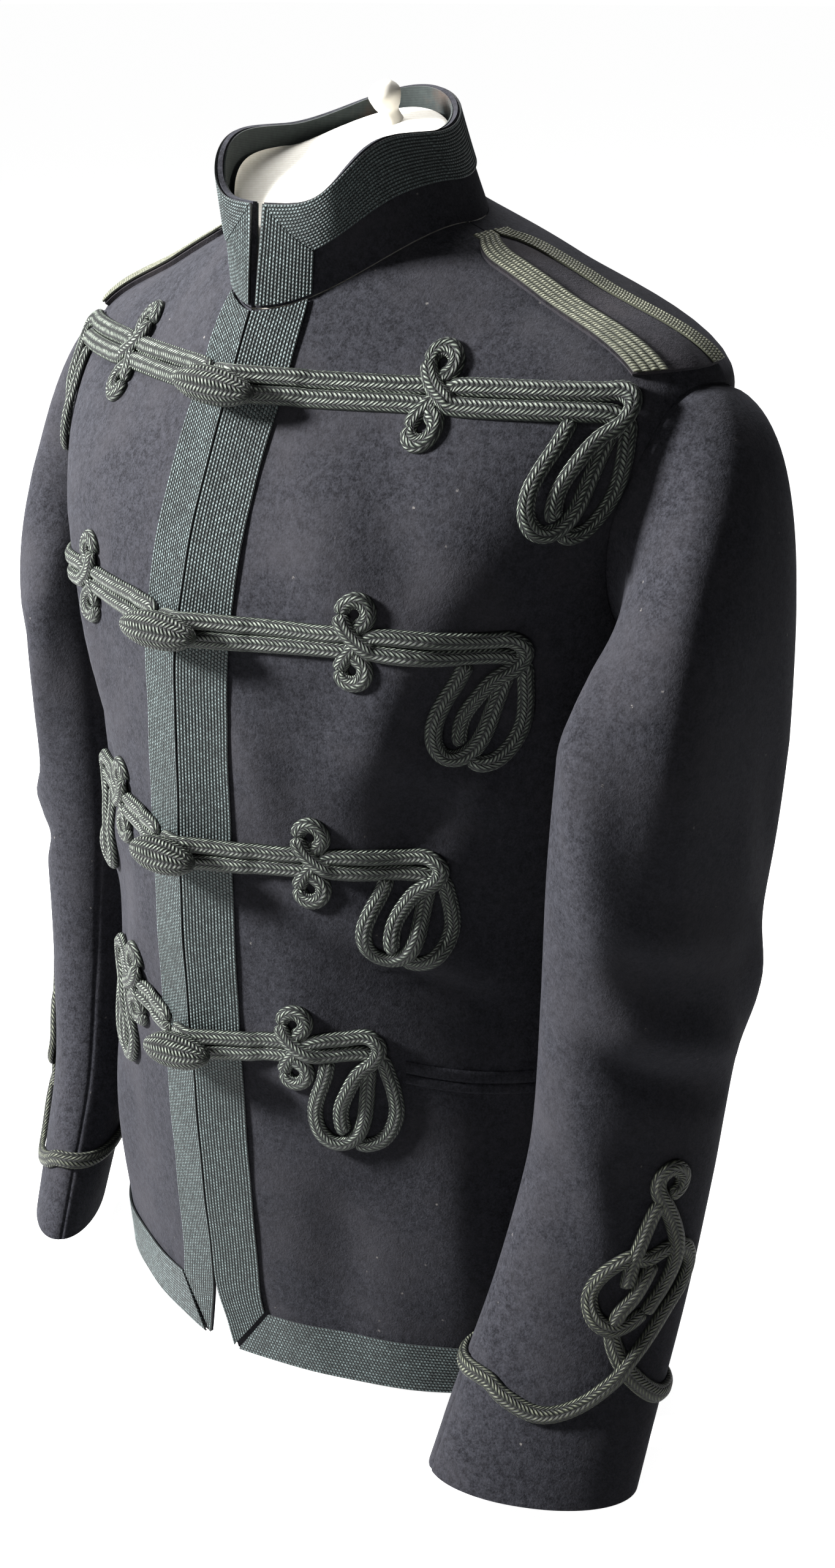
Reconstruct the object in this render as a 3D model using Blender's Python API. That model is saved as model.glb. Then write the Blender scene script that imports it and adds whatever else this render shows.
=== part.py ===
"""Braided patrol jacket standing on a limbless table-top dress form.

The jacket's front faces -Y and the wearer's left is +X. The origin is on the table, under
the middle of the form's foot. Tables are in millimetres; meshes are in metres.
Run with: blender --background --python part.py
"""
import math

import bmesh
import bpy
import numpy as np
from mathutils import Matrix, Vector
from mathutils.geometry import delaunay_2d_cdt

MM = 0.001
WELD = 1e-4
SHARP_ANGLE = 50.0
CURVE_DENSITY = 12
ARC_STEPS = 181
MAP_STEPS = 721
CUFF_STEPS = 401

# Cloth, braid and cord, in millimetres
CLOTH = 2.0
SEAM_GAP = 0.3
LIFT_GAP = 0.35
BRAID_WIDTH = 32.0
BRAID_THICKNESS = 1.4
BRAID_EDGE = 0.02
BRAID_TOP_SHARE = 0.9
MITRE_GAP = 1.4
HEM_BRAID_RISE = 0.4
HEM_BRAID_LIFT = 0.8
HEM_BRAID_LOW = (0.12, 1.0, 2.0)
HEM_BRAID_HIGH = (2.1, 2.4, 2.7)
CORD_WIDTH = 9.4
CORD_EDGE = 2.0
CORD_THICKNESS = 4.4
CORD_END_INSET = 3.0
CORD_SHORTEST = 3.2
CORD_SMALLEST_HOLE = 5.0
STRIP_SMALLEST = 0.02
CREST_REACH = 1.0
LANE_OFFSET = 4.4
CORD_LONGEST = 16.0
CORD_SHARPEST = 52.0

# Body rings from the hem up to the neck seam, in millimetres
RING_COLUMNS = ("side_z", "front_z", "back_z", "half_width", "front_y", "back_y",
                "centre_y", "front_power", "back_power", "ridge", "ridge_width")
RINGS = (
    (22.0, 27.0, 20.0, 178.0, -138.0, 112.0, -12.0, 1.85, 2.2, 6.0, 45.0),
    (90.0, 92.0, 88.0, 181.0, -141.0, 117.0, -12.0, 1.85, 2.2, 8.0, 45.0),
    (155.0, 155.0, 155.0, 180.0, -145.0, 117.0, -13.0, 1.85, 2.2, 9.0, 45.0),
    (222.0, 222.0, 222.0, 173.0, -148.0, 106.0, -14.0, 1.80, 2.2, 10.0, 45.0),
    (285.0, 285.0, 285.0, 168.0, -150.0, 96.0, -15.0, 1.80, 2.2, 11.0, 45.0),
    (345.0, 345.0, 345.0, 173.0, -150.0, 100.0, -15.0, 1.80, 2.2, 12.0, 45.0),
    (410.0, 408.0, 410.0, 180.0, -149.0, 108.0, -15.0, 1.90, 2.2, 12.0, 45.0),
    (465.0, 465.0, 470.0, 183.0, -147.0, 114.0, -13.0, 2.05, 2.3, 12.0, 45.0),
    (535.0, 529.0, 548.0, 194.0, -131.0, 112.0, -6.0, 2.55, 2.5, 12.0, 45.0),
    (607.0, 594.0, 628.0, 218.0, -106.0, 95.0, 2.0, 1.55, 2.5, 9.0, 40.0),
    (645.0, 615.0, 668.0, 143.0, -97.0, 72.0, 2.0, 1.65, 2.2, 9.0, 35.0),
    (676.0, 634.0, 691.0, 69.0, -84.0, 50.0, -2.0, 2.00, 2.0, 13.0, 30.0),
)
HEM = 0.0
ARMPIT = 7.0
SHOULDER = 9.0
NECK = float(len(RINGS) - 1)

# Rows and columns of the panels, and the reach of their normals
BODY_ROWS = 10
ARMHOLE_ROWS = 6
YOKE_ROWS = 4
FRONT_COLUMNS = 10
BACK_COLUMNS = 8
TURN_REACH = 0.4
LEVEL_REACH = 0.03
REACH = 1.5

# Openings and seams of the body, in millimetres
FRONT_HALF_GAP = 1.0
HEM_HALF_GAP = 12.0
HEM_SLIT_TOP = 0.85
HEM_SLIT_CURVE = 1.3
SIDE_SEAM_Y = 6.0
ARMHOLE_FORWARD = 38.0
ARMHOLE_BACKWARD = 64.0

# Stand collar, in millimetres: its top edge as one ring
COLLAR_TOP = dict(side_z=722.0, front_z=688.0, back_z=742.0, half_width=53.0, front_y=-81.0,
                  back_y=41.0, centre_y=-17.0, front_power=4.6, back_power=2.0, ridge=11.0,
                  ridge_width=34.0)
COLLAR_WALL = 2.6
COLLAR_LINING = 1.0
COLLAR_SEAT = 0.6
COLLAR_BASE_HALF_GAP = 1.6
COLLAR_TOP_HALF_GAP = 4.0
COLLAR_SHARES = (0.0, 0.085, 0.17, 0.24, 0.3, 0.36, 0.43, 0.5, 0.58, 0.66, 0.75, 0.83, 0.92, 1.0)
COLLAR_STRIP_COLUMNS = 3
COLLAR_SPAN = (0.0, 0.45, 1.0)
COLLAR_LINING_SPAN = (0.04, 0.45, 0.98)
COLLAR_BRAID_SPAN = (0.46, 0.99)
COLLAR_STRIP_SPAN = (0.03, 0.445)
COLLAR_LIFT = 0.5

# Sleeve sections, in millimetres: height, centre, half sizes and turn of the long axis
SLEEVE_COLUMNS = ("z", "x", "y", "long", "short", "turn", "power")
LEFT_SLEEVE = (
    (12.0, 206.0, -104.0, 59.0, 32.0, 28.0, 2.1),
    (55.0, 208.0, -87.0, 57.0, 33.0, 30.0, 2.1),
    (115.0, 211.0, -62.0, 54.0, 35.0, 36.0, 2.1),
    (180.0, 216.0, -46.0, 52.0, 38.0, 46.0, 2.1),
    (222.0, 219.0, -41.0, 53.0, 40.0, 56.0, 2.1),
    (289.0, 222.0, -36.0, 58.0, 43.0, 70.0, 2.2),
    (365.0, 229.0, -35.0, 66.0, 46.0, 80.0, 2.3),
    (425.0, 232.0, -32.0, 71.0, 46.0, 88.0, 2.4),
)
RIGHT_SLEEVE = (
    (26.0, 202.0, -88.0, 60.0, 22.0, 49.0, 2.1),
    (66.0, 206.0, -71.0, 59.0, 24.0, 50.0, 2.1),
    (120.0, 213.0, -46.0, 57.0, 28.0, 54.0, 2.1),
    (180.0, 222.0, -28.0, 55.0, 33.0, 60.0, 2.1),
    (222.0, 224.0, -20.0, 56.0, 36.0, 66.0, 2.1),
    (289.0, 223.0, -13.0, 59.0, 40.0, 74.0, 2.2),
    (365.0, 219.0, -9.0, 65.0, 38.0, 82.0, 2.3),
    (425.0, 221.0, -6.0, 69.0, 36.0, 88.0, 2.4),
)
CAP_BULGE = 0.26
CAP_DIRECTION = (0.96, 0.0, -0.28)
ARMHOLE_STEP = (1.9, 0.0, -0.3)
CAP_DROP = 0.42
CAP_LEVELS = 5
TOP_SLEEVE_COLUMNS = 10
UNDER_SLEEVE_COLUMNS = 9
SLEEVE_SEAM_TURN = 0.3
FRONT_SEAM_TURN = 226.0
HIND_SEAM_TURN = 62.0

# Frogging rows, in millimetres from the centre front and up from the table
FROG_COLUMNS = ("centre_z", "eye_z", "end_z", "eye_s", "end_s", "foot_wide", "foot_tall",
                "foot_lean", "foot_lift")
FROGS = (
    (597.0, 599.0, 599.0, 116.0, 216.0, 1.00, 1.08, 0.05, 0.8),
    (474.0, 480.0, 478.0, 104.0, 188.0, 1.05, 1.10, 0.24, 0.0),
    (350.0, 354.0, 355.0, 78.0, 145.0, 1.04, 0.94, 0.13, 0.0),
    (233.0, 243.0, 249.0, 66.0, 110.0, 1.02, 1.05, 0.0, 0.0),
)
EYE_OFFSET = 15.0
EYE_RADIUS = 6.9
EYE_ARC = (-70.0, 185.0, 7)
EYE_EXIT_ARC = (175.0, 215.0, 2)
EYE_APPROACH = 6.0
TURN_IN = 4.0
TURN_RISE = 0.5
HALF_WAY_SHIFT = 4.0
FOOT_LEAN_START = 6.0
LOOP_REACH = 11.0
RIGHT_START = 23.0
CORD_BASE_ON_BRAID = 2.25
CORD_STEP_DOWN = (6.0, 16.0)
CORD_CREST = 1.4
CORD_CREST_RUN = 24.0
OVER_LIFT = 1.8

# How strands leave an eye and reach a crow's foot: along the row, above it, lifted by
UPPER_EXIT = ((-1.0, 4.0, 1.8), (8.0, -2.5, 1.8), (16.0, -4.4, 0.3))
UPPER_END = ((-17.0, -4.4, 0.0), (-5.0, -5.4, 0.0))
LOWER_EXIT_LIFT = 0.6
LOWER_EXIT = ((-1.0, -4.0, 0.6), (8.0, 2.5, 0.0), (16.0, 4.4, 0.0))
LOWER_END = ((-16.0, 4.4, 0.2), (-5.0, 4.9, 0.8), (1.5, 1.4, 1.8))
MIDDLE_CROSSING = (-30.0, 0.4)
LEFT_CROSSING = (-40.0, 0.9)

# The three strands of a crow's foot, in millimetres from the outer turn of the row
FOOT_LEFT = ((-25, -7), (-27, -17), (-31, -28), (-33, -38), (-31, -48), (-25, -55), (-17, -56.5),
             (-10, -52), (-6.5, -44), (-5, -34), (-4, -22), (-3, -13))
FOOT_MIDDLE = ((2.5, -4), (-1, -10), (-9, -16), (-15, -26), (-18.5, -36), (-18, -46), (-15, -50))
FOOT_RIGHT = ((4, -10), (7, -17), (10, -27), (11.5, -38), (9, -48), (3, -56), (-5, -58.5),
              (-11, -56))

# The cuff knot's four strands, in millimetres round the sleeve and up from its crossing
KNOT_SWEEP = ((-148, -13), (-120, -15), (-96, -15), (-72, -14), (-59, -19), (-37, -24), (-18, -18),
              (-3, -5), (3, 5), (11, 16), (18, 29), (26, 41), (28, 52), (22, 61), (11, 63),
              (0, 59), (-11, 61), (-22, 53), (-27, 40), (-22, 28), (-12, 22), (-2, 24), (5, 30))
KNOT_RETURN = ((143, -15), (120, -17), (90, -18), (60, -20), (36, -19), (24, -16), (8, -5),
               (-3, 6), (-10, 18), (-10, 29), (-4, 39), (0, 49), (4, 57))
KNOT_STEM = ((5, 28), (8, 34), (13, 43), (15.5, 54), (15, 66), (10, 79), (3, 90), (-1.5, 98),
             (-0.5, 105), (6, 109), (12, 104), (11, 97), (5, 94))
KNOT_SPUR = ((-8.5, 44), (-8.5, 57), (-6, 69), (-2, 84), (2, 91))
KNOT_TURN = 331.0
KNOT_REACH = 200.0
KNOT_BASE = 1.3
KNOT_LONGEST = 12.0
KNOT_Z = 88.0
KNOT_RISE = 1.06

# Toggles, in millimetres
TOGGLE_COLUMNS = ("length", "shift", "raised_by", "sunk_by", "tilt")
TOGGLES = ((54.0, 2.0, 2.0, 0.0, 4.0), (52.0, 0.5, 3.0, 0.8, 1.0), (45.0, 1.0, 2.0, 1.9, 2.0),
           (48.0, 4.0, 2.0, 0.0, -5.0))
TOGGLE_RADIUS = 10.2
TOGGLE_TAPER = 0.16
TOGGLE_FACING = 0.3
TOGGLE_TURNS = 10
TOGGLE_RINGS = 7

# Shoulder straps, in millimetres across the shoulder
STRAP_LIFT = 0.8
STRAP_THICKNESS = 2.6
STRAP_HALF_WIDTH = 25.0
STRAP_NECK_HALF_WIDTH = 20.0
STRAP_BRAID_WIDTH = 12.5
STRAP_BRAID_THICKNESS = 1.2
STRAP_OUTER_LEVEL = 9.12
STRAP_NECK_LEVEL = 10.78
STRAP_SHIFT_Y = -4.0
STRAP_TIP = 0.32
STRAP_TIP_SHARE = 0.1
STRAP_STRAIGHT_ROWS = 7
STRAP_TIP_TURNS = (0.3, 1.5, 4)

# Pocket welts, in millimetres
POCKET_START = 127.0
POCKET_LENGTH = 111.0
POCKET_FRONT_Z = 239.0
POCKET_DROP = 12.0
UPPER_WELT = 7.0
LOWER_WELT = 5.5
WELT_THICKNESS = 1.2
WELT_GAP = 0.8
WELT_COLUMNS = 9

# Dress form, in millimetres
FORM_CLEARANCE = 0.5
FORM_SLACK = 7.0
FORM_SLACK_TOP = 0.6
FORM_SLACK_RUN = 1.4
FORM_FRONT_SLACK = 3.0
FORM_SHOULDER_POWER = 0.5
FORM_ROWS = 6
FORM_BOTTOM = 1.0
FORM_SIDES = 24
NECK_CLEARANCE = 3.0
NECK_TOP_SHARE = 0.74
NECK_CAP = ((0.95, 0.6), (0.85, 1.0), (0.3, 1.0))
NECK_CAP_RISE = 5.0
FOOT_RADIUS = 98.0
FOOT_HEIGHT = 12.0
FOOT_STEP = 4.0
POST_RADIUS = 22.0
POST_FLARE = 5.0
FOOT_TURNS = 24
KNOB_PROFILE = ((0.0, 24.0), (5.4, 22.5), (9.0, 17.5), (7.4, 11.0), (5.6, 7.0), (7.6, 0.0),
                (0.0, 0.0))
KNOB_BACK = 38.0
KNOB_TURNS = 12

WOOL = ("navy wool", (0.030, 0.030, 0.040), 0.95)
BRAID = ("green grey mohair braid", (0.055, 0.080, 0.075), 0.70)
CORD = ("green grey plaited cord", (0.075, 0.100, 0.092), 0.75)
KHAKI = ("faded khaki braid", (0.170, 0.175, 0.130), 0.80)
LINING = ("worn dark lining", (0.025, 0.035, 0.035), 0.60)
LINEN = ("cream linen", (0.800, 0.760, 0.680), 0.85)
PAINT = ("cream painted wood", (0.740, 0.700, 0.620), 0.50)


def clear_scene():
    """Remove every object that the scene opens with."""
    for thing in list(bpy.data.objects):
        bpy.data.objects.remove(thing, do_unlink=True)


def collection(name):
    """Make a collection and link it to the scene."""
    made = bpy.data.collections.new(name)
    bpy.context.scene.collection.children.link(made)
    return made


clear_scene()
JACKET = collection("patrol_jacket_on_dress_form")


def material(finish):
    """Return the Principled material of a finish, made once."""
    name, colour, roughness = finish
    made = bpy.data.materials.get(name)
    if made is None:
        made = bpy.data.materials.new(name)
        made.use_nodes = True
        shader = made.node_tree.nodes["Principled BSDF"]
        shader.inputs["Base Color"].default_value = (*colour, 1.0)
        shader.inputs["Roughness"].default_value = roughness
        shader.inputs["Metallic"].default_value = 0.0
    return made


def smooth_row(table, at):
    """Read a table between its rows with a Catmull-Rom curve."""
    rows = np.asarray(table, dtype=float)
    last = len(rows) - 1
    at = min(max(at, 0.0), float(last))
    low = min(int(at), last - 1)
    part = at - low
    before = rows[max(low - 1, 0)]
    start = rows[low]
    end = rows[low + 1]
    after = rows[min(low + 2, last)]
    slope_start = (end - before) / 2.0 if low > 0 else end - start
    slope_end = (after - start) / 2.0 if low + 2 <= last else end - start
    square = part * part
    cube = square * part
    return ((2 * cube - 3 * square + 1) * start + (cube - 2 * square + part) * slope_start
            + (3 * square - 2 * cube) * end + (cube - square) * slope_end)


def smooth_curve(points, longest, sharpest):
    """Run a Catmull-Rom curve through points, spaced by length and by how far it turns."""
    table = np.asarray(points, dtype=float)
    shares = np.linspace(0.0, len(table) - 1.0, CURVE_DENSITY * len(table))
    dense = np.array([smooth_row(table, at) for at in shares])
    steps = np.diff(dense[:, :2], axis=0)
    length = np.concatenate([[0.0], np.cumsum(np.linalg.norm(steps, axis=1))])
    headings = np.unwrap(np.arctan2(steps[:, 1], steps[:, 0]))
    turned_by = np.concatenate([[0.0, 0.0], np.cumsum(np.abs(np.diff(headings)))])
    effort = length / longest + turned_by / math.radians(sharpest)
    count = max(3, int(round(effort[-1])) + 1)
    wanted = np.linspace(0.0, effort[-1], count)
    return np.stack([np.interp(wanted, effort, dense[:, k]) for k in range(table.shape[1])], 1)


def ring_at(level):
    """Return the body ring at a level as a dictionary."""
    return dict(zip(RING_COLUMNS, smooth_row(RINGS, level)))


def ring_points(ring, turns):
    """Points of a ring at turns from 0 at the centre front to 180 at the centre back."""
    turns = np.radians(np.asarray(turns, dtype=float))
    sine = np.sin(turns)
    cosine = np.cos(turns)
    front = cosine >= 0.0
    power = np.where(front, ring["front_power"], ring["back_power"])
    across = ring["half_width"] * np.sign(sine) * np.abs(sine) ** (2.0 / power)
    depth = np.where(front, ring["front_y"] - ring["centre_y"], ring["back_y"] - ring["centre_y"])
    along = ring["centre_y"] + depth * np.abs(cosine) ** (2.0 / power)
    ridge = ring["ridge"] * np.exp(-np.abs(across) / ring["ridge_width"])
    along = along - np.where(front, ridge, 0.0)
    ends = np.where(front, ring["front_z"], ring["back_z"])
    height = ring["side_z"] * sine ** 2 + ends * cosine ** 2
    return np.stack([across, along, height], -1)


def turn_of_y(ring, y):
    """Turn at which a ring passes a given depth, the ridge left out."""
    if y <= ring["centre_y"]:
        share = (y - ring["centre_y"]) / (ring["front_y"] - ring["centre_y"])
        return math.degrees(math.acos(min(1.0, share) ** (ring["front_power"] / 2.0)))
    share = (y - ring["centre_y"]) / (ring["back_y"] - ring["centre_y"])
    return 180.0 - math.degrees(math.acos(min(1.0, share) ** (ring["back_power"] / 2.0)))


def turn_of_x(ring, x):
    """Turn at which the front of a ring passes a given distance from the centre."""
    return math.degrees(math.asin(min(1.0, x / ring["half_width"]) ** (ring["front_power"] / 2.0)))


def armhole_bell(level):
    """Share of the armhole's depth at a level, 0 outside it."""
    share = (level - ARMPIT) / (SHOULDER - ARMPIT)
    if share <= 0.0 or share >= 1.0:
        return 0.0
    return math.sqrt(1.0 - (1.0 - 2.0 * share) ** 2)


def front_gap(level):
    """Half of the gap between the fronts at a level."""
    share = max(0.0, (HEM_SLIT_TOP - level) / HEM_SLIT_TOP)
    return FRONT_HALF_GAP + (HEM_HALF_GAP - FRONT_HALF_GAP) * share ** HEM_SLIT_CURVE


def arc_turns(ring, start, end, shares):
    """Turns between two turns of a ring at shares of the length."""
    turns = np.linspace(start, end, ARC_STEPS)
    points = ring_points(ring, turns)
    length = np.concatenate([[0.0], np.cumsum(np.linalg.norm(np.diff(points, axis=0), axis=1))])
    return np.interp(np.asarray(shares, dtype=float) * length[-1], length, turns)


def crossed(along, upward):
    """Unit normals from two arrays of directions."""
    normals = np.cross(along, upward)
    return normals / np.linalg.norm(normals, axis=-1)[..., None]


def ring_frames(level, turns):
    """Points and outward normals of the body at a level and turns, left side."""
    turns = np.asarray(turns, dtype=float)
    ring = ring_at(level)
    along = ring_points(ring, turns + TURN_REACH) - ring_points(ring, turns - TURN_REACH)
    above = ring_points(ring_at(min(level + LEVEL_REACH, NECK)), turns)
    below = ring_points(ring_at(max(level - LEVEL_REACH, HEM)), turns)
    return ring_points(ring, turns), crossed(along, above - below)


def panel_levels():
    """Levels of a body panel's rows, closer together round the armhole."""
    low = list(np.linspace(HEM, ARMPIT, BODY_ROWS))
    bend = [ARMPIT + (SHOULDER - ARMPIT) * (1.0 - math.cos(math.pi * k / ARMHOLE_ROWS)) / 2.0
            for k in range(1, ARMHOLE_ROWS + 1)]
    high = list(np.linspace(SHOULDER, NECK, YOKE_ROWS))[1:]
    return np.array(low + bend + high)


class BodyMap:
    """Places on the body from the distance round from the centre front and the height."""

    STEP = 2.0

    def __init__(self):
        """Tabulate the left half of the body at the rows of its panels."""
        self.levels = panel_levels()
        rows = []
        for level in self.levels:
            points = ring_points(ring_at(level), np.linspace(0.0, 180.0, MAP_STEPS))
            steps = np.linalg.norm(np.diff(points, axis=0), axis=1)
            rows.append((np.concatenate([[0.0], np.cumsum(steps)]), points))
        totals = [length[-1] for length, _ in rows]
        self.distances = np.arange(0.0, max(totals) + self.STEP, self.STEP)
        self.table = np.array([[np.interp(self.distances, length, points[:, k])
                                for k in range(3)] for length, points in rows])

    def place(self, distance, height):
        """Point at a distance round from the centre front and a height, left side."""
        at = min(max(distance, 0.0) / self.STEP, len(self.distances) - 1.001)
        low = int(at)
        part = at - low
        column = self.table[:, :, low] * (1.0 - part) + self.table[:, :, low + 1] * part
        return np.array([np.interp(height, column[:, 2], column[:, k]) for k in range(3)])

    def point(self, distance, height):
        """Point on either side: a distance below zero is on the wearer's right."""
        placed = self.place(abs(distance), height)
        if distance < 0.0:
            placed[0] = -placed[0]
        return placed

    def frame(self, distance, height):
        """Point and outward normal at a distance and a height."""
        along = self.point(distance + REACH, height) - self.point(distance - REACH, height)
        upward = self.point(distance, height + REACH) - self.point(distance, height - REACH)
        return self.point(distance, height), crossed(along, upward)


BODY = BodyMap()


def mirrored(points, side):
    """Points on the left for side 1, or mirrored to the right for side -1."""
    return np.asarray(points) * np.array([side, 1.0, 1.0])


def new_object(name, mesh_builder, finish):
    """Turn a bmesh in millimetres into a named object in metres."""
    bmesh.ops.scale(mesh_builder, vec=(MM, MM, MM), verts=mesh_builder.verts)
    mesh = bpy.data.meshes.new(name)
    mesh_builder.to_mesh(mesh)
    mesh_builder.free()
    mesh.materials.append(material(finish))
    mesh.shade_smooth()
    mesh.set_sharp_from_angle(angle=math.radians(SHARP_ANGLE))
    made = bpy.data.objects.new(name, mesh)
    JACKET.objects.link(made)
    return made


def grid_mesh(columns, rows, placed, around=False):
    """Map a flat grid onto placed[row][column] points; around closes the columns."""
    builder = bmesh.new()
    bmesh.ops.create_grid(builder, x_segments=columns - 1, y_segments=rows - 1, size=1.0)
    builder.verts.ensure_lookup_table()
    for vert in builder.verts:
        column = int(round((vert.co.x + 1.0) / 2.0 * (columns - 1)))
        row = int(round((vert.co.y + 1.0) / 2.0 * (rows - 1)))
        vert.co = Vector(placed[row][column])
    if around:
        bmesh.ops.remove_doubles(builder, verts=builder.verts, dist=WELD)
    return builder


def shell(name, outer, inner, finish):
    """A wall between two grids of points, its outer and its inner face."""
    builder = grid_mesh(len(outer[0]), len(outer), outer)
    skin = grid_mesh(len(inner[0]), len(inner), inner)
    inside = bpy.data.meshes.new(name)
    skin.to_mesh(inside)
    skin.free()
    builder.from_mesh(inside)
    bpy.data.meshes.remove(inside)
    rim = [edge for edge in builder.edges if edge.is_boundary]
    bmesh.ops.bridge_loops(builder, edges=rim)
    bmesh.ops.recalc_face_normals(builder, faces=builder.faces)
    return new_object(name, builder, finish)


def laid(name, rows, side, low, high, finish):
    """A wall from rows of points and normals, between two heights along the normals."""
    outer = [mirrored([raised(place, high) for place in row], side) for row in rows]
    inner = [mirrored([raised(place, low) for place in row], side) for row in rows]
    return shell(name, outer, inner, finish)


def raised(points_and_normals, height):
    """Move a point outward along its normal."""
    here, normal = points_and_normals
    return here + normal * height


def seam_y(level):
    """Depth of the side seam, and of the shoulder seam above it."""
    share = min(1.0, max(0.0, (level - ARMPIT) / (SHOULDER - ARMPIT)))
    shoulder = ring_at(level)["centre_y"]
    return SIDE_SEAM_Y * (1.0 - share) + shoulder * share


def front_grid():
    """Points and normals of a front, from the centre edge round to the side seam."""
    rows = []
    for level in BODY.levels:
        ring = ring_at(level)
        seam = turn_of_y(ring, seam_y(level))
        edge = seam_y(level) - SEAM_GAP / 2.0 - ARMHOLE_FORWARD * armhole_bell(level)
        start = turn_of_x(ring, front_gap(level))
        end = turn_of_y(ring, edge)
        points = ring_points(ring, np.linspace(start, end, ARC_STEPS))
        total = np.linalg.norm(np.diff(points, axis=0), axis=1).sum()
        braid = np.array([0.0, 0.5, 1.0]) * BRAID_WIDTH / total
        shares = np.concatenate([braid, np.linspace(braid[-1], 1.0, FRONT_COLUMNS - 2)[1:]])
        rows.append(grid_row(level, arc_turns(ring, start, end, shares), -1, seam))
    return rows


def back_grid():
    """Points and normals of a back, from the side seam round to the centre back."""
    rows = []
    for level in BODY.levels:
        ring = ring_at(level)
        seam = turn_of_y(ring, seam_y(level))
        edge = seam_y(level) + SEAM_GAP / 2.0 + ARMHOLE_BACKWARD * armhole_bell(level)
        end = 180.0 - turn_of_x(dict(ring, front_power=ring["back_power"]), SEAM_GAP / 2.0)
        turns = arc_turns(ring, turn_of_y(ring, edge), end, np.linspace(0.0, 1.0, BACK_COLUMNS))
        rows.append(grid_row(level, turns, 0, seam))
    return rows


def grid_row(level, turns, seam_column, seam_turn):
    """One row of a panel, its seam edge taking the normal that both panels share there."""
    points, normals = ring_frames(level, turns)
    if armhole_bell(level) == 0.0:
        normals[seam_column] = ring_frames(level, [seam_turn])[1][0]
    return list(zip(points, normals))


def between(first, second, share):
    """Point and normal part of the way between two."""
    return (first[0] * (1.0 - share) + second[0] * share,
            first[1] * (1.0 - share) + second[1] * share)


def on_row(row, column):
    """Point and normal on a row of a grid at a fraction of a column."""
    low = min(int(column), len(row) - 2)
    return between(row[low], row[low + 1], column - low)


def above_hem(grid, column, rise):
    """Point and normal a short way above the hem at a column of a grid."""
    low = on_row(grid[0], column)
    high = on_row(grid[1], column)
    return between(low, high, rise / (high[0][2] - low[0][2]))


def body_panels(front, back):
    """Two fronts and two backs."""
    for side, name in ((1.0, "left"), (-1.0, "right")):
        laid(f"front_{name}", front, side, -CLOTH, 0.0, WOOL)
        laid(f"back_{name}", back, side, -CLOTH, 0.0, WOOL)


def collar_ring(ring, gap, shares):
    """Points and level normals round half a collar edge, from the front to the back."""
    turns = arc_turns(ring, turn_of_x(ring, gap), 180.0, shares)
    along = ring_points(ring, turns + TURN_REACH) - ring_points(ring, turns - TURN_REACH)
    along[:, 2] = 0.0
    return ring_points(ring, turns), crossed(along, np.array([0.0, 0.0, 1.0]))


def collar_row(height_share, out, shares=COLLAR_SHARES):
    """Points half round the collar at a share of its height and a distance outward."""
    base_ring = dict(ring_at(NECK))
    for key in ("side_z", "front_z", "back_z"):
        base_ring[key] += COLLAR_SEAT
    base, base_normals = collar_ring(base_ring, COLLAR_BASE_HALF_GAP, shares)
    top, top_normals = collar_ring(COLLAR_TOP, COLLAR_TOP_HALF_GAP, shares)
    base = base + base_normals * out
    top = top + top_normals * out
    return base * (1.0 - height_share) + top * height_share


def whole_row(half):
    """A half row on the left continued round the back to the right."""
    half = np.array(half)
    half[-1, 0] = 0.0
    return np.concatenate([half, mirrored(half[::-1][1:], -1.0)])


def collar_layer(name, heights, low, high, finish):
    """One layer of the collar, from front edge round the back to front edge."""
    shell(name, [whole_row(collar_row(share, high)) for share in heights],
          [whole_row(collar_row(share, low)) for share in heights], finish)


def collar():
    """The stand collar with its inner lining, its top braid and its front strips."""
    face = COLLAR_LIFT + BRAID_THICKNESS
    lining = -COLLAR_WALL - LIFT_GAP
    collar_layer("collar", COLLAR_SPAN, -COLLAR_WALL, 0.0, WOOL)
    collar_layer("collar_lining", COLLAR_LINING_SPAN, lining - COLLAR_LINING, lining, LINING)
    collar_layer("collar_braid", COLLAR_BRAID_SPAN, COLLAR_LIFT, face, BRAID)
    for side, name in ((1.0, "left"), (-1.0, "right")):
        faces = []
        for out in (face, COLLAR_LIFT):
            faces.append([mirrored(collar_row(share, out)[:COLLAR_STRIP_COLUMNS], side)
                          for share in COLLAR_STRIP_SPAN])
        shell(f"collar_strip_{name}", *faces, BRAID)


def front_braids(front):
    """The wide braid down each front edge, mitred into the hem braid."""
    columns = (BRAID_EDGE, 1.0, 2.0 - BRAID_EDGE)
    rows = [[above_hem(front, column, MITRE_GAP + column / 2.0 * BRAID_WIDTH)
             for column in columns]]
    rows += [[on_row(row, column) for column in columns] for row in front[1:-1]]
    rows.append([between(on_row(front[-2], column), on_row(front[-1], column), BRAID_TOP_SHARE)
                 for column in columns])
    for side, name in ((1.0, "left"), (-1.0, "right")):
        laid(f"front_braid_{name}", rows, side, LIFT_GAP, LIFT_GAP + BRAID_THICKNESS, BRAID)


def hem_braid(front, back):
    """The wide braid round the hem, in one length from mitre to mitre."""
    low_columns = list(HEM_BRAID_LOW) + list(range(3, len(front[0])))
    high_columns = list(HEM_BRAID_HIGH) + list(range(3, len(front[0])))
    faces = []
    for out in (HEM_BRAID_LIFT + BRAID_THICKNESS, HEM_BRAID_LIFT):
        rows = []
        for rise, columns in ((HEM_BRAID_RISE, low_columns),
                              (HEM_BRAID_RISE + BRAID_WIDTH, high_columns)):
            half = [raised(above_hem(front, column, rise), out) for column in columns]
            half += [raised(above_hem(back, column, rise), out)
                     for column in range(1, len(back[0]))]
            rows.append(whole_row(half))
        faces.append(rows)
    shell("hem_braid", *faces, BRAID)


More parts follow.
